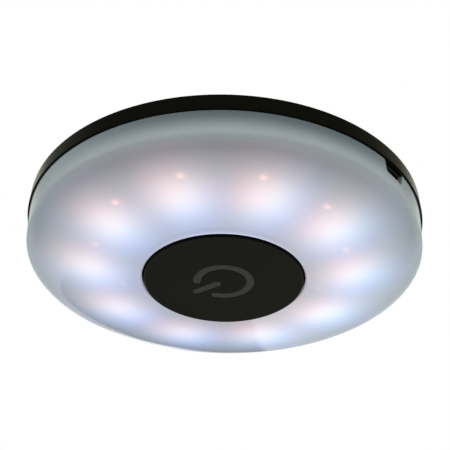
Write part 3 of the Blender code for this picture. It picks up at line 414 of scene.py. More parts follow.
def plain_plastic(name, colour, roughness, change=0.9):
    """Moulded plastic with faint flow marks and a fine skin."""
    coat = Finish(name)
    coat.paint(coat.noise(130.0, 3.0), colour, toned(colour, change))
    skin = coat.noise(1500.0)
    coat.set("Roughness", roughness + (skin - 0.5) * 0.1)
    coat.relief(skin, 0.00001, 0.3)
    return coat.material


def metal(name, colour, roughness, metallic=1.0, lit=False):
    """Plated or rolled metal: faint streaks and a slightly uneven shine."""
    coat = Finish(name, metallic=metallic)
    sockets = {"Vector": coat.place, "Scale": (1.0, 1.0, 0.15)}
    streaks = coat.noise(900.0, 3.0, place=coat.add("ShaderNodeMapping", sockets))
    coat.paint(streaks, colour, toned(colour, 0.86))
    coat.set("Roughness", roughness + (streaks - 0.5) * 0.2)
    # Painted light: lit metal glows round each LED's die.
    if lit:
        add_die_light(coat)
    return coat.material


def grainy(name, colour, other_colour, scale, roughness, depth):
    """A pressed or foamed material: grains of two tones with a rough surface."""
    coat = Finish(name, ior=1.45)
    grains = coat.cells(scale)
    patches = coat.noise(scale / 6.0, 3.0)
    coat.paint(patches * 0.3, coat.blend(grains, colour, other_colour), other_colour)
    coat.set("Roughness", roughness + (patches - 0.5) * 0.15)
    coat.relief(grains, depth, 0.6)
    return coat.material


def foil_finish():
    """The cell's laminated foil, crinkled most near its seams."""
    coat = Finish("cell_foil", metallic=0.75)
    edge = high("battery_cell").x / MM
    near_seam = coat.smooth(coat.x.math("ABSOLUTE"), edge - 6.0, edge)
    waves = coat.noise(60.0, 3.0)
    coat.paint(waves, (0.62, 0.63, 0.64), (0.5, 0.51, 0.53))
    coat.set("Roughness", 0.3 + waves * 0.2)
    coat.relief(coat.cells(190.0) * (0.25 + 0.75 * near_seam) + waves, 0.00012, 0.6)
    return coat.material


def tape_finish():
    """Amber tape wound round the cell's protection board, with its overlaps."""
    coat = Finish("amber_tape")
    turns = (coat.x / 2.6).math("FRACT")
    overlap = coat.smooth(turns, 0.0, 0.08) * coat.smooth(turns, 1.0, 0.96)
    coat.paint(overlap, (0.30, 0.14, 0.02), (0.52, 0.27, 0.04))
    coat.set("Roughness", 0.25 + coat.noise(500.0) * 0.15)
    coat.relief(overlap, 0.00006, 0.6)
    return coat.material


def board_finish():
    """White solder mask, tinned rings round the screw holes, bare glass board at the edge, and
    painted light round each LED.
    """
    coat = Finish("board_mask")
    smooth, z = coat.smooth, coat.z
    glass = coat.noise(900.0)
    mask = coat.blend(glass, (0.72, 0.74, 0.74), (0.68, 0.70, 0.70))
    track = coat.hump(coat.radius(), 44.5, 0.5)
    track = track.math("MAXIMUM", coat.hump(coat.radius(), 36.0, 0.4))
    mask = coat.blend(track * 0.5, mask, (0.56, 0.60, 0.60))
    tin = 0.0
    for x, y in PANEL_HOLES:
        ring = smooth(coat.radius(x / MM, y / MM), 2.3, 2.2)
        tin = ring.math("MAXIMUM", tin)
    core = smooth(z, BOARD_FRONT / MM + 0.04, BOARD_FRONT / MM + 0.06)
    core = core * smooth(z, BOARD_BACK / MM - 0.04, BOARD_BACK / MM - 0.06)
    tin = tin * (1.0 - core)
    coat.paint(core, coat.blend(tin, mask, (0.62, 0.61, 0.58)), (0.55, 0.52, 0.30))
    coat.set("Metallic", tin)
    coat.set("Roughness", 0.35 + glass * 0.1 - tin * 0.1)
    coat.relief(track + glass * 0.2, 0.00003, 0.5)
    # Painted light: a pool of emission round each LED's die, shifted towards +Y by
    # BOARD_LIGHT_SHIFT.
    add_die_light(coat, BOARD_LIGHT_SHIFT)
    return coat.material


def add_die_light(coat, shift=0.0):
    """Paints light round each LED's red die, which is on the same side in every LED, as emission:
    the LED's own glow on its package and a painted pool of light on what lies round it, fainter for
    the LEDs towards +Y.
    """
    step = math.tau / LED_COUNT
    turn = (coat.y.math("ARCTAN2", coat.x) / step).math("ROUND") * step
    across = coat.x - turn.math("COSINE") * (LED_RING / MM) - DIE_PLACE[0]
    beyond = coat.y - turn.math("SINE") * (LED_RING / MM) - DIE_PLACE[1] - shift
    spot = ((across * across + beyond * beyond) / (-DIE_SPREAD * DIE_SPREAD)).math("EXPONENT")
    level = spot * (0.3 + 0.7 * coat.smooth(coat.y, 12.0, -22.0))
    coat.set("Emission Color", coat.triple(*[share * level for share in DIE_COLOUR]))
    coat.set("Emission Strength", DIE_STRENGTH)


def led_finish(name, scale, detail, colour, other_colour):
    """A lit LED's white package, or the clear resin over its dies."""
    coat = Finish(name, roughness=0.4)
    coat.paint(coat.noise(scale, detail), colour, other_colour)
    add_die_light(coat)
    return coat.material


# Meshes


def new_object(name, data):
    obj = bpy.data.objects.new(name, data)
    bpy.context.scene.collection.objects.link(obj)
    return obj


def evaluated_mesh(obj):
    graph = bpy.context.evaluated_depsgraph_get()
    return bpy.data.meshes.new_from_object(obj.evaluated_get(graph))


def mesh_of(bm):
    mesh = bpy.data.meshes.new("mesh")
    bm.to_mesh(mesh)
    bm.free()
    return mesh


def modify(obj, kind, **settings):
    """Gives an object a modifier and makes it part of its mesh."""
    modifier = obj.modifiers.new(kind, kind)
    for name, setting in settings.items():
        setattr(modifier, name, setting)
    mesh = evaluated_mesh(obj)
    obj.modifiers.clear()
    obj.data = mesh
    return obj


def bevel(obj, width, angle=40.0, segments=2):
    limit = math.radians(angle)
    modify(obj, "BEVEL", width=width, segments=segments, limit_method="ANGLE", angle_limit=limit)


def finish_piece(obj, name, material, slot, *nodes, body="housing", angle=35.0):
    """Puts a piece's place in its mesh, shades and names it, gives it its material, attaches it to
    its body and hides the nodes that it stands for.
    """
    mesh = evaluated_mesh(obj)
    mesh.transform(obj.matrix_world)
    obj.matrix_world = Matrix.Identity(4)
    obj.data = mesh
    mesh.shade_smooth()
    mesh.set_sharp_from_angle(angle=math.radians(angle))
    modify(obj, "WEIGHTED_NORMAL", keep_sharp=True)
    obj.name = obj.data.name = name
    if material:
        obj.data.materials.clear()
        obj.data.materials.append(material)
    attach(obj, body)
    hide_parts(*nodes)


def welded(obj):
    """Joins an object's doubled points and turns its faces outwards."""
    bm = bmesh.new()
    bm.from_mesh(obj.data)
    bmesh.ops.remove_doubles(bm, verts=bm.verts, dist=0.005 * MM)
    bmesh.ops.recalc_face_normals(bm, faces=bm.faces)
    obj.data = mesh_of(bm)
    return obj


def block(size, at=(0, 0, 0), turn=0.0, edge=0.0, segments=2):
    """A box whose edges are rounded by the edge."""
    bm = bmesh.new()
    bmesh.ops.create_cube(bm, size=1, matrix=Matrix.Diagonal((*size, 1)))
    obj = new_object("block", mesh_of(bm))
    obj.location = at
    obj.rotation_euler.z = math.radians(turn)
    if edge:
        bevel(obj, edge, segments=segments)
    return obj


def block_of(node, edge=0.0, segments=2):
    """A block as large as a node, in its place."""
    return block(high(node) - low(node), middle(node), edge=edge, segments=segments)


def pair(size, at, edge=0.0):
    """Two blocks, opposite each other across the middle."""
    return [block(size, (side * at[0], side * at[1], at[2]), edge=edge) for side in (-1, 1)]


def spoke(degrees, inner, outer, width, top, bottom, edge=0.0):
    """A block along a radius, between two radii and two heights."""
    at = (*polar((inner + outer) / 2, degrees), (top + bottom) / 2)
    return block((outer - inner, width, top - bottom), at, degrees, edge)


def arc(centre, radius, first, last, count):
    points = [polar(radius, first + (last - first) * i / count) for i in range(count + 1)]
    return [(centre[0] + x, centre[1] + y) for x, y in points]


def rounded(corners, steps=4):
    """The line through (x, y) points and (x, y, radius) corners, which are rounded."""
    points = []
    for i, (x, y, *radius) in enumerate(corners):
        if not radius or radius[0] == 0:
            points.append((x, y))
            continue
        here = Vector((x, y))
        before = Vector(corners[i - 1][:2]) - here
        after = Vector(corners[(i + 1) % len(corners)][:2]) - here
        reach = radius[0] / math.tan(before.angle(after) / 2)
        start = here + before.normalized() * reach
        end = here + after.normalized() * reach
        for step in range(steps + 1):
            share = step / steps
            bent = start * (1 - share) ** 2 + here * 2 * share * (1 - share) + end * share**2
            points.append(tuple(bent))
    return points


def turned(corners, steps=ROUND_STEPS, closed=False):
    """A turned solid of (radius, height) points and (radius, height, rounding) corners."""
    profile = rounded(corners)
    edges = [(i, i + 1) for i in range(len(profile) - 1)]
    if closed:
        edges.append((len(profile) - 1, 0))
    mesh = bpy.data.meshes.new("profile")
    mesh.from_pydata([(radius, 0, height) for radius, height in profile], edges, [])
    settings = {"steps": steps, "render_steps": steps, "merge_threshold": 0.002 * MM}
    return welded(modify(new_object("turned", mesh), "SCREW", use_merge_vertices=True, **settings))


def disc(radius, top, bottom, at=(0, 0), steps=SMALL_STEPS, edge=0.0):
    """A cylinder between two heights, the rim of its lower end rounded by the edge."""
    obj = turned([(0, top), (radius, top), (radius, bottom, edge), (0, bottom)], steps)
    obj.location = (*at, 0)
    return obj


def draw_line(curve, points):
    spline = curve.splines.new("POLY")
    spline.points.add(len(points) - 1)
    for point, place in zip(spline.points, points):
        point.co = (*place, 1)
    return spline


def plate(corners, thickness, place, inset=0.0):
    """A flat plate of an outline at its place, its edges eased by the inset."""
    curve = bpy.data.curves.new("outline", "CURVE")
    curve.dimensions = "2D"
    curve.fill_mode = "BOTH"
    curve.extrude = thickness / 2 - inset
    curve.bevel_depth = inset
    curve.bevel_resolution = 2
    curve.offset = -inset
    draw_line(curve, [(*point, 0) for point in rounded(corners)]).use_cyclic_u = True
    source = new_object("outline", curve)
    obj = new_object("plate", evaluated_mesh(source))
    bpy.data.objects.remove(source)
    obj.matrix_world = place
    return welded(obj)


def cut(target, tools, operation="DIFFERENCE"):
    """Cuts tools from the target, or joins them to it, and removes the tools."""
    group = bpy.data.collections.new("tools")
    for tool in tools:
        group.objects.link(tool)
    bpy.context.view_layer.update()
    settings = {"solver": "MANIFOLD", "operand_type": "COLLECTION", "collection": group}
    modify(target, "BOOLEAN", operation=operation, **settings)
    for tool in tools:
        bpy.data.objects.remove(tool)
    bpy.data.collections.remove(group)
    return target


def join(target, tools):
    return cut(target, tools, "UNION")


def merged(*groups):
    """One object from groups of objects. Its face attribute "part" numbers the groups."""
    bm = bmesh.new()
    part = bm.faces.layers.int.new("part")
    for number, group in enumerate(groups):
        for obj in group:
            mesh = evaluated_mesh(obj)
            mesh.transform(obj.matrix_world)
            first = len(bm.faces)
            bm.from_mesh(mesh)
            bm.faces.ensure_lookup_table()
            for face in bm.faces[first:]:
                face[part] = number
            bpy.data.objects.remove(obj)
    return new_object("merged", mesh_of(bm))


# Geometry trees


def new_tree(name, inputs):
    """A geometry tree with named inputs, and their values after that of the geometry."""
    tree = bpy.data.node_groups.new(name, "GeometryNodeTree")
    for label, kind in {"Geometry": "Geometry", **inputs}.items():
        tree.interface.new_socket(name=label, in_out="INPUT", socket_type="NodeSocket" + kind)
    tree.interface.new_socket(name="Geometry", in_out="OUTPUT", socket_type="NodeSocketGeometry")
    entry = tree.nodes.new("NodeGroupInput")
    return Graph(tree), [Value(socket) for socket in entry.outputs if socket.name]


def close_tree(graph, geometry, material, *others):
    """Ends a tree with real geometry in its material, and the faces of other parts in theirs."""
    dressed = graph.add("GeometryNodeRealizeInstances", {"Geometry": geometry})
    dressed = graph.add("GeometryNodeSetMaterial", {"Geometry": dressed, "Material": material})
    for number, other in enumerate(others, start=1):
        chosen = attribute(graph, "part", "INT").math("COMPARE", number, 0.1)
        sockets = {"Geometry": dressed, "Selection": chosen, "Material": other}
        dressed = graph.add("GeometryNodeSetMaterial", sockets)
    graph.add("NodeGroupOutput", {"Geometry": dressed})
    return graph.tree


def attribute(graph, name, kind):
    return graph.add("GeometryNodeInputNamedAttribute", {"Name": name}, {"data_type": kind})


def grown(tree, source, *values):
    """What a tree makes of an object, or of nothing, with values for its inputs in their order."""
    source = source or new_object("seed", bpy.data.meshes.new("seed"))
    modifier = source.modifiers.new(tree.name, "NODES")
    modifier.node_group = tree
    inputs = [item for item in tree.interface.items_tree if item.in_out == "INPUT"]
    for item, value in zip(inputs[1:], values):
        modifier[item.identifier] = value
    mesh = evaluated_mesh(source)
    bpy.data.objects.remove(source)
    return new_object("grown", mesh)


def crown_tree():
    """The dome's outer skin: a straight rim, the crown's curve and the collar, as one turned sheet.

    The crown follows (radius / edge)^power + (depth / rise)^power = 1.
    """
    sizes = ("Edge Radius", "Hole Radius", "Rim Top", "Rim End", "Rise", "Power", "Collar Length")
    counts = ("Steps Round", "Rim Rows", "Crown Rows", "Collar Rows")
    inputs = dict.fromkeys(sizes, "Float") | dict.fromkeys(counts, "Int")
    graph, values = new_tree("opal_crown", inputs | {"Material": "Material"})
    edge, hole, rim_top, rim_end, rise, power, collar = values[1:8]
    steps, rim_rows, crown_rows, collar_rows, material = values[8:]
    rows = rim_rows + crown_rows + collar_rows + 1.0
    grid = graph.add("GeometryNodeMeshGrid", {"Vertices X": steps + 1.0, "Vertices Y": rows})
    index = graph.add("GeometryNodeInputIndex")
    column = (index / rows).math("FLOOR")
    row = index - column * rows
    turn = column / steps * math.tau
    rim_share = (row / rim_rows).math("MINIMUM", 1.0)
    crown_share = ((row - rim_rows) / crown_rows).math("MAXIMUM", 0.0).math("MINIMUM", 1.0)
    collar_share = ((row - rim_rows - crown_rows) / collar_rows).math("MAXIMUM", 0.0)
    angle = crown_share * ((hole / edge) ** (power / 2.0)).math("ARCCOSINE")
    radius = edge * angle.math("COSINE") ** (2.0 / power)
    depth = rise * angle.math("SINE") ** (2.0 / power)
    height = rim_top - (rim_top - rim_end) * rim_share - depth + collar * collar_share
    place = graph.triple(radius * turn.math("COSINE"), radius * turn.math("SINE"), height)
    sheet = graph.add("GeometryNodeSetPosition", {"Geometry": grid, "Position": place})
    sheet = graph.add("GeometryNodeMergeByDistance", {"Geometry": sheet, "Distance": 0.01 * MM})
    sheet = graph.add("GeometryNodeFlipFaces", {"Mesh": sheet})
    return close_tree(graph, sheet, material)


def copies_tree():
    """A template's copy on every point, turned about Z and tilted about X by its attributes."""
    inputs = {"Template": "Object", "First": "Material", "Second": "Material", "Third": "Material"}
    graph, (points, template, *materials) = new_tree("template_copies", inputs)
    shape = graph.add("GeometryNodeObjectInfo", {"Object": template}, output="Geometry")
    spin = graph.triple(attribute(graph, "tilt", "FLOAT"), 0.0, attribute(graph, "turn", "FLOAT"))
    sockets = {"Points": points, "Instance": shape, "Rotation": spin}
    return close_tree(graph, graph.add("GeometryNodeInstanceOnPoints", sockets), *materials)


def coil_tree():
    """A spring: one wire wound round Z."""
    sizes = dict.fromkeys(("Radius", "Wire", "Turns", "Height"), "Float")
    graph, values = new_tree("spring_coil", sizes | {"Material": "Material"})
    radius, wire, turns, height, material = values[1:]
    sockets = {"Resolution": 48, "Rotations": turns, "Height": height}
    sockets |= {"Start Radius": radius, "End Radius": radius}
    path = graph.add("GeometryNodeCurveSpiral", sockets)
    return close_tree(graph, wire_along(graph, path, wire), material)


def wire_tree():
    """A round wire along the object's own curve."""
    graph, (path, wire, material) = new_tree("wire", {"Wire": "Float", "Material": "Material"})
    return close_tree(graph, wire_along(graph, path, wire), material)


def wire_along(graph, path, wire):
    section = graph.add("GeometryNodeCurvePrimitiveCircle", {"Resolution": 16, "Radius": wire})
    sockets = {"Curve": path, "Profile Curve": section, "Fill Caps": True}
    return graph.add("GeometryNodeCurveToMesh", sockets)


def copied(name, slot, nodes, template, places, *materials, angle=35.0):
    """A piece of a template's copies, at (x, y, z, turn, tilt) places with angles in degrees."""
    mesh = bpy.data.meshes.new("places")
    mesh.from_pydata([place[:3] for place in places], [], [])
    for label, index in (("turn", 3), ("tilt", 4)):
        angles = [math.radians(place[index]) for place in places]
        mesh.attributes.new(label, "FLOAT", "POINT").data.foreach_set("value", angles)
    obj = grown(copies, new_object("places", mesh), template, *materials)
    bpy.data.objects.remove(template)
    finish_piece(obj, name, None, slot, *nodes, angle=angle)


def numbered(stem, count):
    return [f"{stem}_{i + 1}" for i in range(count)]


def standing(radius, degrees, height):
    return (*polar(radius, degrees), height, degrees, 0.0)


# Dome


def upright_at(radius):
    """Stands a plate on edge at the socket's angle, square to the radius: X runs round and Y up."""
    upright = Matrix.Rotation(math.radians(90.0), 4, "X")
    turn = Matrix.Rotation(math.radians(SOCKET_ANGLE + 90.0), 4, "Z")
    return Matrix.Translation((*polar(radius, SOCKET_ANGLE), 0)) @ turn @ upright


def notch_tool():
    """The notch in the rim: wider at its mouth, its two lower corners eased."""
    bottom = SOCKET_LOW_Z - NOTCH_SILL
    top = RIM_TOP + MM
    inner = SOCKET_WIDTH / 2 + NOTCH_SIDE_GAP
    outer = inner + NOTCH_FLARE * (top - bottom) / (RIM_TOP - bottom)
    floor = [(-inner, bottom, NOTCH_CORNER), (inner, bottom, NOTCH_CORNER)]
    place = upright_at(RIM_RADIUS - RIM_WALL / 2)
    return plate([(-outer, top), *floor, (outer, top)], 3 * RIM_WALL, place)


def make_dome():
    material = opal_finish()
    sizes = (RIM_RADIUS, HOLE_RADIUS, RIM_TOP, RIM_END, CROWN_RISE, CROWN_POWER, COLLAR_LENGTH)
    dome = grown(crown_tree(), None, *sizes, ROUND_STEPS, *DOME_ROWS, material)
    modify(dome, "SOLIDIFY", thickness=CROWN_WALL, offset=-1.0, use_even_offset=True)
    bevel(dome, HOLE_EDGE, 50.0, 4)
    inner = RIM_RADIUS - RIM_WALL - SNAP_REACH
    outer = RIM_RADIUS - CROWN_WALL / 2
    sizes = (inner, outer, SNAP_WIDTH, SNAP_TOP, SNAP_END)
    join(dome, [spoke(degrees, *sizes) for degrees in SNAP_ANGLES])
    cut(dome, [notch_tool()])
    finish_piece(dome, "opal_dome", material, "opal_white", "diffuser", angle=40.0)


# Rear housing


def make_housing():
    wall_inner = WALL_RADIUS - OUTER_WALL
    groove_end = WALL_END + GROOVE_DEPTH
    shell = turned([
        (0, 0), (BACK_RADIUS, 0, 0.4 * MM), (WALL_RADIUS, WALL_END, 0.3 * MM),
        (wall_inner, WALL_END, 0.15 * MM), (wall_inner, groove_end, 0.3 * MM),
        (RING_OUTER, groove_end, 0.3 * MM), (RING_OUTER, RING_END, 0.2 * MM),
        (RING_INNER, RING_END, 0.2 * MM), (RING_INNER, PLATE_FACE, 0.4 * MM), (0, PLATE_FACE),
    ])
    top = PLATE_FACE + OVERLAP
    boss_end = BOARD_BACK + FIT_GAP
    rib = (BOSS_RING - RIB_REACH, RING_INNER + RING_WALL / 2, RIB_THICKNESS)
    solids = []
    hollows = []
    for degrees in BOSS_ANGLES:
        at = polar(BOSS_RING, degrees)
        solids.append(spoke(degrees, *rib, top, PLATE_FACE - RIB_HEIGHT, 0.2 * MM))
        solids.append(disc(BOSS_RADIUS, top, boss_end, at, edge=0.25 * MM))
        hollows.append(disc(SCREW_HOLE, PILOT_TOP, boss_end - MM, at, 24))
    hollow = MAGNET_RADIUS + FIT_GAP
    pocket = hollow + POCKET_WALL
    groove = pocket - WITNESS_WIDTH
    pocket_rim = PLATE_FACE - POCKET_HEIGHT
    for degrees in MAGNET_ANGLES:
        at = polar(MAGNET_RING, degrees)
        solids.append(disc(pocket, top, pocket_rim, at, 72, 0.25 * MM))
        hollows.append(disc(hollow, -POCKET_FLOOR, pocket_rim - MM, at, 72))
        outer_side = [(pocket, OVERLAP), (pocket, -WITNESS_DEPTH)]
        inner_side = [(groove, -WITNESS_DEPTH), (groove, OVERLAP)]
        witness = turned(outer_side + inner_side, 72, True)
        witness.location = (*at, 0)
        hollows.append(witness)
    join(shell, solids + [fence()])
    window = (RING_INNER - MM / 2, RING_OUTER + MM / 2, SNAP_WIDTH + 2 * FIT_GAP)
    for degrees in SNAP_ANGLES:
        hollows.append(spoke(degrees, *window, SNAP_TOP + FIT_GAP, SNAP_END - FIT_GAP))
    window = (RING_INNER - OVERLAP, WALL_RADIUS + OVERLAP, TAB_WIDTH + MM)
    hollows.append(spoke(SOCKET_ANGLE, *window, SOCKET_HIGH_Z + FIT_GAP, RING_END - OVERLAP))
    cut(shell, hollows)
    finish_piece(shell, "rear_shell", housing_black, "housing_black", "rear_housing")


def fence():
    """The low wall round the battery."""
    half_x = high("battery_cell").x + CELL_SIDE_GAP
    low_y = low("battery_cell").y - CELL_SIDE_GAP
    high_y = high("battery_circuit").y + CELL_SIDE_GAP
    height = FENCE_HEIGHT + OVERLAP
    centre = (0, (low_y + high_y) / 2, PLATE_FACE + OVERLAP - height / 2)
    wall = block((2 * (half_x + FENCE_WALL), high_y - low_y + 2 * FENCE_WALL, height), centre)
    return cut(wall, [block((2 * half_x, high_y - low_y, height + MM), centre)])


def make_magnets():
    top, bottom = high("magnet_1").z, low("magnet_1").z
    rims = [(MAGNET_RADIUS, top, 0.3 * MM), (MAGNET_RADIUS, bottom, 0.3 * MM)]
    magnet = turned([(0, top), *rims, (0, bottom)], 96)
    places = [standing(MAGNET_RING, degrees, 0.0) for degrees in MAGNET_ANGLES]
    copied("holding_magnets", "nickel", numbered("magnet", 3), magnet, places, nickel)


# Button, its sign, its spring and its bracket


def make_button():
    back = CAP_FRONT + BUTTON_FACE
    skirt_inner = BUTTON_RADIUS - BUTTON_SKIRT
    flat_end = BUTTON_RADIUS - BUTTON_EDGE - 0.2 * MM
    ease = 0.15 * MM
    cap = turned([
        (0, POST_END), (POST_RADIUS, POST_END, 0.3 * MM), (POST_RADIUS, back),
        (SPRING_RIB_INNER, back), (SPRING_RIB_INNER, back + MM, ease),
        (SPRING_RIB_OUTER, back + MM, ease), (SPRING_RIB_OUTER, back),
        (skirt_inner, back, 0.3 * MM), (skirt_inner, FLANGE_BACK),
        (FLANGE_RADIUS, FLANGE_BACK, ease), (FLANGE_RADIUS, FLANGE_FRONT, ease),
        (BUTTON_RADIUS, FLANGE_FRONT), (BUTTON_RADIUS, CAP_FRONT + 2 * BUTTON_EDGE),
        (BUTTON_RADIUS, CAP_FRONT, BUTTON_EDGE), (flat_end, CAP_FRONT), (0, CAP_FRONT),
    ])
    depth = MARK_DEPTH + SEAT_GAP
    place = Matrix.Translation((0, 0, CAP_FRONT + (depth - MM) / 2))
    tools = [plate(outline, depth + MM, place) for outline in mark_outlines(MARK_SIDE_GAP)]
    slot = (FRAME_INNER - KEY_REACH - FIT_GAP, FLANGE_RADIUS + OVERLAP, KEY_WIDTH + 2 * FIT_GAP)
    tools.append(spoke(MARK_ANGLE, *slot, FLANGE_BACK + MM / 2, FLANGE_FRONT - MM / 2))
    cut(cap, tools)
    finish_piece(cap, "button_dish", button_black, "button_black", "button_cap", body="button")


def mark_outlines(spread):
    """Outlines of the sign's broken ring and its bar, each widened by the spread."""
    half = MARK_STROKE / 2 + spread
    first = MARK_ANGLE + MARK_HALF_OPENING
    last = MARK_ANGLE + 360.0 - MARK_HALF_OPENING
    ring = arc((0, 0), MARK_RADIUS + half, first, last, 96)
    ring += arc(polar(MARK_RADIUS, last), half, last, last + 180.0, 14)[1:-1]
    ring += arc((0, 0), MARK_RADIUS - half, last, first, 96)
    ring += arc(polar(MARK_RADIUS, first), half, first + 180.0, first + 360.0, 14)[1:-1]
    side = MARK_ANGLE + 90.0
    bar = arc(polar(MARK_BAR_START, MARK_ANGLE), half, side, side + 180.0, 14)
    bar += arc(polar(MARK_BAR_END, MARK_ANGLE), half, side + 180.0, side + 360.0, 14)
    return [ring, bar]


def make_sign():
    place = Matrix.Translation((0, 0, CAP_FRONT + MARK_DEPTH / 2))
    for shape, outline in zip(("ring", "bar"), mark_outlines(0)):
        mark = plate(outline, MARK_DEPTH, place, 0.08 * MM)
        names = ("sign_" + shape, sign_grey, "mark_grey", "power_mark_" + shape)
        finish_piece(mark, *names, body="button")


def make_spring():
    fixed_end = FLOOR_FRONT - SEAT_GAP
    front = low("button_spring").z
    sizes = (SPRING_RADIUS, SPRING_WIRE, SPRING_TURNS, fixed_end - front - 2 * SPRING_WIRE)
    spring = grown(coil_tree(), None, *sizes, spring_steel)
    spring.location.z = front + SPRING_WIRE
    finish_piece(spring, "button_coil", None, "steel", "button_spring")
    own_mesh(spring)


def make_bracket():
    ease = 0.2 * MM
    bracket = turned([
        (FRAME_RADIUS, FRAME_FOOT, ease), (FRAME_RADIUS, FRAME_END, ease),
        (FRAME_INNER, FRAME_END, ease), (FRAME_INNER, FLOOR_FRONT, 0.3 * MM),
        (BUSH_RADIUS, FLOOR_FRONT), (BUSH_RADIUS, BUSH_END, ease), (BUSH_INNER, BUSH_END, ease),
        (BUSH_INNER, FLOOR_BACK, ease), (FRAME_INNER, FLOOR_BACK, 0.3 * MM),
        (FRAME_INNER, FRAME_FOOT, ease),
    ], 160, True)
    tip = low("frame_screw_1").z
    bosses = [disc(FRAME_BOSS_RADIUS, FRAME_FOOT, FLOOR_BACK, at) for at in FRAME_SCREWS]
    pilots = [disc(SCREW_HOLE, FRAME_FOOT + MM, tip, at, 24) for at in FRAME_SCREWS]
    key = (FRAME_INNER - KEY_REACH, FRAME_INNER + 0.6 * MM, KEY_WIDTH)
    key = spoke(MARK_ANGLE, *key, FLOOR_FRONT + OVERLAP, FLANGE_FRONT + OVERLAP, 0.15 * MM)
    join(bracket, [*bosses, key])
    cut(bracket, pilots)
    finish_piece(bracket, "button_bracket", bracket_white, "white_plastic", "button_frame")


# Switch


def make_switch():
    top = high("switch_plunger").z
    case = block_of("switch_body", 0.3 * MM, 3)
    face = low("switch_body").z
    holes = [disc(0.45 * MM, face + MM, face - MM, at, 20) for at in SWITCH_PEGS]
    cut(case, [disc(SWITCH_WELL, top + MM, face - MM), *holes])
    finish_piece(case, "switch_case", chip_black, "chip_black", "switch_body")
    cover = block_of("switch_cover")
    front, back = low("switch_cover").z, high("switch_cover").z
    cut(cover, [disc(SWITCH_WELL, back + MM, front - MM)])
    rivet = (0.5 * MM, back, front - 0.15 * MM)
    join(cover, [disc(*rivet, at, 20, 0.1 * MM) for at in SWITCH_PEGS])
    finish_piece(cover, "switch_plate", steel, "steel", "switch_cover")
    stem = disc(1.75 * MM, top, low("switch_plunger").z, edge=0.3 * MM)
    finish_piece(stem, "switch_stem", chip_black, "chip_black", "switch_plunger", body="plunger")


# LED board and its parts


def make_board():
    radius = RING_INNER - 0.5 * MM
    board = disc(radius, BOARD_BACK, BOARD_FRONT, steps=180)
    tab = (radius - TAB_WIDTH / 2, TAB_REACH, TAB_WIDTH, BOARD_BACK, BOARD_FRONT)
    join(board, [spoke(SOCKET_ANGLE, *tab)])
    hole = (SCREW_HOLE, BOARD_BACK + MM, BOARD_FRONT - MM)
    cut(board, [disc(*hole, at, 32) for at in PANEL_HOLES])
    finish_piece(board, "led_panel", board_finish(), "board_white", "led_board")


def make_leds():
    body = block(mm(2.7, 3.3, 0.6), mm(0, 0, -0.4), edge=0.12 * MM)
    cup = [mm(0, -0.45), mm(1.1, -0.45), mm(1.25, -0.71), mm(0, -0.71)]
    cut(body, [turned(cup, SMALL_STEPS)])
    fill = disc(*mm(1.14, -0.4, -0.55), edge=0.1 * MM)
    terminals = pair(mm(2.2, 0.5, 0.25), mm(0, 1.5, -0.175), 0.04 * MM)
    template = merged([body], [fill], terminals)
    places = [standing(LED_RING, 360.0 * i / LED_COUNT, LED_SEAT) for i in range(LED_COUNT)]
    package = led_finish("led_package", 130.0, 3.0, (0.78, 0.77, 0.72), (0.74, 0.73, 0.68))
    resin = led_finish("led_resin", 2500.0, 2.0, (0.85, 0.66, 0.22), (0.75, 0.55, 0.16))
    led_tin = metal("led_tin", (0.70, 0.70, 0.69), 0.3, lit=True)
    nodes = [f"led_{i + 1:02d}" for i in range(LED_COUNT)]
    copied("led_ring", "led_yellow", nodes, template, places, package, resin, led_tin)


def make_resistors():
    body = block(mm(1.2, 1.3, 0.4), mm(0, 0, -0.28), edge=0.04 * MM)
    template = merged([body], pair(mm(1.25, 0.4, 0.5), mm(0, 0.8, -0.25), 0.06 * MM))
    seat = high("led_resistor_1").z
    places = [standing(RESISTOR_RING, 72.0 * i + 18.0, seat) for i in range(5)]
    nodes = numbered("led_resistor", 5)
    copied("led_resistors", "chip_black", nodes, template, places, chip_black, tin)


def make_chips():
    body = block(mm(3.1, 5.0, 1.25), mm(0, 0, 0.85), edge=0.15 * MM)
    cut(body, [disc(*mm(0.35, 2.0, 1.38), mm(-0.9, -1.8), 24)])
    pins = []
    for row in (-1.5, -0.5, 0.5, 1.5):
        pins += pair(mm(0.4, 0.42, 0.16), mm(1.8, row * 1.27, 0.1), 0.03 * MM)
        pins += pair(mm(0.16, 0.42, 0.85), mm(1.66, row * 1.27, 0.45), 0.03 * MM)
    places = [standing(CHIP_RING, degrees, PART_SEAT) for degrees in CHIP_ANGLES]
    nodes = ("charger_chip", "driver_chip")
    template = merged([body], pins)
    copied("power_chips", "chip_black", nodes, template, places, chip_black, tin)


def make_choke():
    base = block(mm(4.2, 4.2, 0.5), mm(0, 0, 0.25), edge=0.15 * MM)
    lid = disc(*mm(1.95, 2.0, 1.6))
    core = disc(*mm(1.0, 1.7, 0.4))
    sections = [arc(mm(1.65, 0.62 + 0.22 * i), 0.11 * MM, 0.0, 330.0, 11) for i in range(5)]
    template = merged([base, lid, core], [turned(section, 48, True) for section in sections])
    places = [standing(CHIP_RING, CHOKE_ANGLE, PART_SEAT)]
    copied("choke_coil", "ferrite_grey", ["inductor"], template, places, ferrite, copper)


def make_capacitors():
    body = block(mm(1.7, 2.4, 1.3), mm(0, 0, 0.7), edge=0.08 * MM)
    template = merged([body], pair(mm(1.8, 0.6, 1.4), mm(0, 1.3, 0.7), 0.12 * MM))
    nodes = numbered("capacitor", 4)
    spots = zip(nodes, CAPACITOR_ANGLES)
    places = [(*middle(node).xy, PART_SEAT, degrees, 0.0) for node, degrees in spots]
    copied("board_capacitors", "ceramic_tan", nodes, template, places, ceramic, tin)


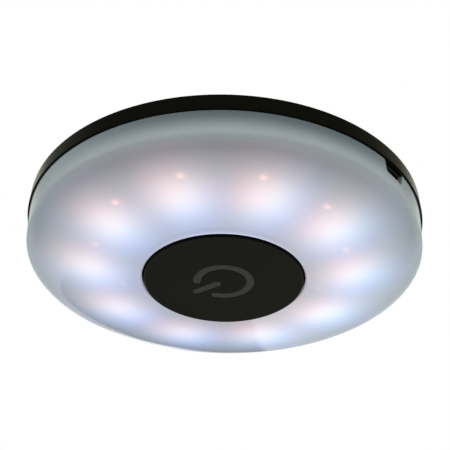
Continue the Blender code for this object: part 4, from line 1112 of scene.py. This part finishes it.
def make_charge_lamp():
    lens = block(mm(1.0, 0.9, 0.4), mm(0, 0, 0.4), edge=0.1 * MM)
    base = block(mm(1.6, 0.9, 0.2), mm(0, 0, 0.1))
    template = merged([lens], [base], pair(mm(0.3, 0.92, 0.24), mm(0.65, 0, 0.13)))
    node = "charge_indicator"
    places = [(*middle(node).xy, low(node).z, SOCKET_ANGLE, 0.0)]
    materials = (lamp_green, bracket_white, tin)
    copied("charge_lamp", "lamp_green", [node], template, places, *materials)


# Charging socket


def socket_outline(inset):
    """The socket's section: a flat box with its lower corners cut off and every corner eased."""
    half = SOCKET_WIDTH / 2 - inset
    bottom = SOCKET_LOW_Z + inset
    top = SOCKET_HIGH_Z - inset
    ease = SOCKET_CORNER - inset / 2
    side = [(half - SOCKET_CHAMFER, bottom), (half, bottom + SOCKET_CHAMFER), (half, top)]
    corners = [(-x, y) for x, y in reversed(side)] + side
    return [(x, y, ease) for x, y in corners]


def make_socket():
    centre = SOCKET_FRONT - SOCKET_LENGTH / 2
    shell = plate(socket_outline(0), SOCKET_LENGTH, upright_at(centre), 0.06 * MM)
    place = upright_at(centre + 0.8 * MM)
    tools = [plate(socket_outline(SOCKET_WALL), SOCKET_LENGTH, place)]
    for side in (-1, 1):
        across = polar(side * 1.7 * MM, SOCKET_ANGLE + 90.0)
        x, y = Vector(polar(centre + 0.6 * MM, SOCKET_ANGLE)) + Vector(across)
        for height in (SOCKET_HIGH_Z, SOCKET_LOW_Z):
            tools.append(block(mm(2.4, 0.25, 1.0), (x, y, height), SOCKET_ANGLE))
    cut(shell, tools)
    finish_piece(shell, "socket_box", nickel, "nickel", "socket_shell")


def make_tongue():
    tip = SOCKET_FRONT - 1.1 * MM
    length = tip - TONGUE_BACK
    blade = block((length, *mm(4.2, 0.5)), edge=0.1 * MM)
    contact = (length - 0.5 * MM, *mm(0.3, 0.06))
    rows = [mm(-0.1, row * 0.65, -0.24) for row in range(-2, 3)]
    template = merged([blade], [block(contact, at, edge=0.02 * MM) for at in rows])
    node = "socket_tongue"
    places = [standing((TONGUE_BACK + tip) / 2, SOCKET_ANGLE, middle(node).z)]
    copied("contact_tongue", "chip_black", [node], template, places, chip_black, gold)


# Battery


def make_battery():
    foam = grainy("pad_foam", (0.13, 0.13, 0.13), (0.05, 0.05, 0.05), 1300.0, 0.9, 0.0002)
    pad = block_of("battery_pad", 0.15 * MM)
    finish_piece(pad, "foam_strip", foam, "foam_grey", "battery_pad")
    size = high("battery_cell") - low("battery_cell")
    centre = middle("battery_cell")
    pouch = block((size.x - MM, size.y, size.z), centre, edge=1.4 * MM, segments=5)
    seam = (0.4 * MM, size.y - 1.2 * MM, size.z - 1.6 * MM)
    seams = pair(seam, (size.x / 2 - 0.2 * MM, 0, 0), 0.15 * MM)
    for side in seams:
        side.location += Vector((0, centre.y, centre.z))
    template = merged([pouch, *seams])
    copied("pouch_cell", "foil_silver", ["battery_cell"], template, [AT_REST], foil_finish())
    strip = block_of("battery_circuit", 0.35 * MM, 3)
    finish_piece(strip, "taped_circuit", tape_finish(), "circuit_amber", "battery_circuit")


def make_header():
    node = "battery_header"
    size = high(node) - low(node)
    centre = middle(node)
    body = block_of(node, 0.2 * MM)
    cavity = block(size - Vector(mm(0, 1.2, 1.2)), centre + Vector(mm(0.6, 0, 0)))
    latch = block(mm(1.0, 2.0, 1.0), centre + Vector((0.8 * MM, 0, size.z / 2)))
    cut(body, [cavity, latch])
    pins = []
    for side in (-LEAD_OFFSET, LEAD_OFFSET):
        at = centre + Vector((0.3 * MM, side, 0))
        pins.append(block((size.x - MM, *mm(0.45, 0.45)), at, edge=0.08 * MM))
    template = merged([body], pins)
    copied("header_block", "connector_cream", [node], template, [AT_REST], cream, tin)


def make_plug():
    node = "battery_plug"
    size = high(node) - low(node)
    cuts = []
    for side in (-LEAD_OFFSET, LEAD_OFFSET):
        wire_hole = middle(node) + Vector((size.x / 2, side, 0))
        crimp_window = middle(node) + Vector((-0.4 * MM, side, size.z / 2))
        cuts.append(block(mm(1.6, 1.25, 1.4), wire_hole))
        cuts.append(block(mm(1.4, 0.8, 0.8), crimp_window))
    body = cut(block_of(node, 0.2 * MM), cuts)
    finish_piece(body, "plug_block", cream, "connector_cream", node)


def lead_points(offset):
    """A smooth curve from the cell's circuit round to the plug, offset from their middles."""
    height = middle("battery_circuit").z
    plug = middle("battery_plug")
    start = Vector((-6.0 * MM + offset, high("battery_circuit").y + FIT_GAP, height))
    end = Vector((high("battery_plug").x + FIT_GAP, plug.y + offset, plug.z))
    after_start = start + Vector((0, 1.4 * MM, 0))
    before_end = end + Vector((1.4 * MM, 0, 0))
    near = after_start.lerp(Vector((after_start.x, before_end.y, after_start.z)), 0.6)
    far = before_end.lerp(Vector((after_start.x, before_end.y, before_end.z)), 0.6)
    return [start, *interpolate_bezier(after_start, near, far, before_end, 25), end]


def make_leads():
    tree = wire_tree()
    colours = {"red": (0.55, 0.02, 0.02), "black": (0.015, 0.015, 0.015)}
    for (name, colour), offset in zip(colours.items(), (-LEAD_OFFSET, LEAD_OFFSET)):
        curve = bpy.data.curves.new(name, "CURVE")
        curve.dimensions = "3D"
        draw_line(curve, lead_points(offset))
        vinyl = plain_plastic(f"lead_{name}_vinyl", colour, 0.4)
        lead = grown(tree, new_object(name, curve), LEAD_RADIUS, vinyl)
        names = (f"{name}_lead", None, f"lead_{name}", f"battery_lead_{name}")
        finish_piece(lead, *names, angle=60.0)


# Screws


def screw_template(shank):
    """A pan head screw, head down, with the underside of its head at the origin."""
    head, crest, root, pitch, rim = mm(1.2, 0.9, 0.68, 0.7, 1.9)
    profile = [(0, shank), (0.25 * MM, shank), (root, shank - 0.7 * MM)]
    for i in range(int((shank - 1.2 * MM) / pitch)):
        start = shank - 0.8 * MM - i * pitch
        profile += [(root, start), (crest, start - 0.3 * pitch), (root, start - 0.6 * pitch)]
    profile += [(root, 0), (rim, 0)]
    profile += rounded([(rim, 0), (rim, -head, 0.55 * MM), (0, -head)], 6)[1:]
    slots = [block(mm(2.2, 0.5, 1.3), (0, 0, -head), turn) for turn in (0.0, 90.0)]
    return cut(turned(profile, 36), slots)


def make_screws():
    front = BOARD_FRONT - SEAT_GAP
    back = BOARD_BACK + SEAT_GAP
    below = [standing(BOSS_RING, degrees, front) for degrees in BOSS_ANGLES]
    above = [(*at, back, 0.0, 180.0) for at in FRAME_SCREWS]
    rows = (
        ("panel_screws", "board_screw", high("board_screw_1").z - front, below),
        ("bracket_screws", "frame_screw", back - low("frame_screw_1").z, above),
    )
    for name, stem, shank, places in rows:
        template = screw_template(shank)
        copied(name, "steel", numbered(stem, 4), template, places, steel, angle=30.0)


# Stage


def make_camera():
    data = bpy.data.cameras.new("photo_camera")
    data.lens = CAMERA_LENS
    data.sensor_width = SENSOR_WIDTH
    camera = new_object("photo_camera", data)
    back = CAMERA_RIGHT.cross(CAMERA_UP).normalized()
    turn = Matrix((CAMERA_RIGHT, CAMERA_UP, back)).transposed().to_4x4()
    camera.matrix_world = Matrix.Translation(CAMERA_PLACE) @ turn
    bpy.context.scene.camera = camera


def make_world():
    """White where the camera looks. Soft studio light: bright behind the light, dim before it.

    Gloss mirrors a dark card, a bright strip and two windows, placed by their turn and rise.
    """
    world = bpy.data.worlds.new("studio")
    bpy.context.scene.world = world
    world.use_nodes = True
    world.node_tree.nodes.clear()
    graph = Graph(world.node_tree)
    smooth = graph.smooth
    direction = graph.add("ShaderNodeTexCoord", output="Generated")
    across = graph.add("ShaderNodeSeparateXYZ", {"Vector": direction})
    ahead, up = across.other(1), across.other(2)
    camera_ray = graph.add("ShaderNodeLightPath")
    glossy_ray = camera_ray.other("Is Glossy Ray")
    seen = camera_ray.math("MAXIMUM", camera_ray.other("Is Transmission Ray"))
    turn = across.math("ARCTAN2", ahead) * math.degrees(1.0)
    rise = up.math("ARCSINE") * math.degrees(1.0)
    edge = -20.9 + 8.9 * (turn + 22.0).math("MAXIMUM", 1.0).math("LOGARITHM", math.e)
    edge = edge + 2.7 * smooth(turn, -10.0, -6.0) + 2.5 * smooth(turn, -4.0, 0.0)
    card = smooth(edge - rise, -1.0, 1.0) * smooth(turn, 3.6, 2.8) * smooth(turn, -22.0, -20.0)
    strip = smooth(turn, -12.0, -8.0) * smooth(turn, -1.5, -5.0)
    strip = strip * smooth(rise, 4.0, 9.0) * smooth(rise, 34.0, 18.0)
    aside = turn.math("ABSOLUTE")
    window = smooth(aside, 12.0, 24.0) * smooth(aside, 50.0, 24.0) * smooth(rise, 0.0, 6.0)
    backdrop = 0.9 * (1.0 - 0.8 * card) + 0.85 * strip + 0.45 * window
    horizon = backdrop * smooth(up, -0.5, -0.3) - 0.6 * smooth(up, 0.2, 0.5)
    mirror = horizon * smooth(ahead, -0.3, 0.6) + 0.03
    soft = 0.8 + 0.25 * smooth(ahead, -1.0, 1.0)
    level = seen + (1.0 - seen) * (glossy_ray * mirror + (1.0 - glossy_ray) * soft)
    share = glossy_ray * (1.0 - seen) * smooth(aside, 14.0, 40.0)
    tint = graph.blend(share, (1.0, 1.0, 1.0), (0.98, 1.0, 0.82))
    background = graph.add("ShaderNodeBackground", {"Color": tint, "Strength": level})
    graph.add("ShaderNodeOutputWorld", {"Surface": background})


def make_lamp():
    data = bpy.data.lights.new("soft_top", "AREA")
    data.shape = "DISK"
    data.size = LAMP_SIZE
    data.energy = LAMP_POWER
    lamp = new_object("soft_top", data)
    lamp.location = LAMP_PLACE
    lamp.visible_glossy = False
    lamp.rotation_euler = (-LAMP_PLACE).to_track_quat("-Z", "Y").to_euler()


def make_floor():
    bm = bmesh.new()
    bmesh.ops.create_circle(bm, cap_ends=True, segments=64, radius=FLOOR_RADIUS)
    floor = new_object("studio_floor", mesh_of(bm))
    floor.location.z = FLOOR_HEIGHT
    coat = Finish("pale_floor", roughness=0.9)
    coat.paint(coat.noise(3.0, 4.0), (0.84, 0.84, 0.83), (0.88, 0.88, 0.87))
    coat.set("Specular IOR Level", 0.1)
    floor.data.materials.append(coat.material)
    floor.visible_glossy = False


SHELL_BLACK = (0.0046, 0.0047, 0.0032)
housing_black = moulded_black("housing_plastic", SHELL_BLACK, 0.18, 0.1, (1.0, 1.0, 0.70)).material
button_black = button_finish()
sign_grey = plain_plastic("sign_plastic", (0.044, 0.047, 0.034), 0.5)
bracket_white = plain_plastic("bracket_plastic", (0.75, 0.75, 0.73), 0.4, 0.95)
chip_black = plain_plastic("epoxy", (0.018, 0.018, 0.020), 0.5, 0.7)
cream = plain_plastic("connector_nylon", (0.72, 0.68, 0.55), 0.45)
lamp_green = plain_plastic("lamp_resin", (0.25, 0.62, 0.28), 0.25)
ceramic = grainy("capacitor_ceramic", (0.42, 0.28, 0.17), (0.34, 0.22, 0.13), 5000.0, 0.5, 0.00001)
ferrite = grainy("ferrite_core", (0.06, 0.06, 0.065), (0.03, 0.03, 0.034), 6000.0, 0.6, 0.00002)
nickel = metal("nickel_plate", (0.62, 0.60, 0.57), 0.25)
steel = metal("zinc_steel", (0.55, 0.55, 0.54), 0.35, 0.8)
spring_steel = metal("spring_wire", (0.42, 0.42, 0.43), 0.28)
tin = metal("solder_tin", (0.70, 0.70, 0.69), 0.3)
copper = metal("copper_wire", (0.60, 0.24, 0.10), 0.3)
gold = metal("contact_gold", (0.83, 0.60, 0.24), 0.25)
copies = copies_tree()

make_camera()
make_world()
make_floor()
make_lamp()
make_dome()
make_housing()
make_magnets()
make_button()
make_sign()
make_spring()
make_bracket()
make_switch()
make_board()
make_leds()
make_resistors()
make_chips()
make_choke()
make_capacitors()
make_charge_lamp()
make_socket()
make_tongue()
make_battery()
make_header()
make_plug()
make_leads()
make_screws()

bpy.context.scene.view_settings.view_transform = "Standard"
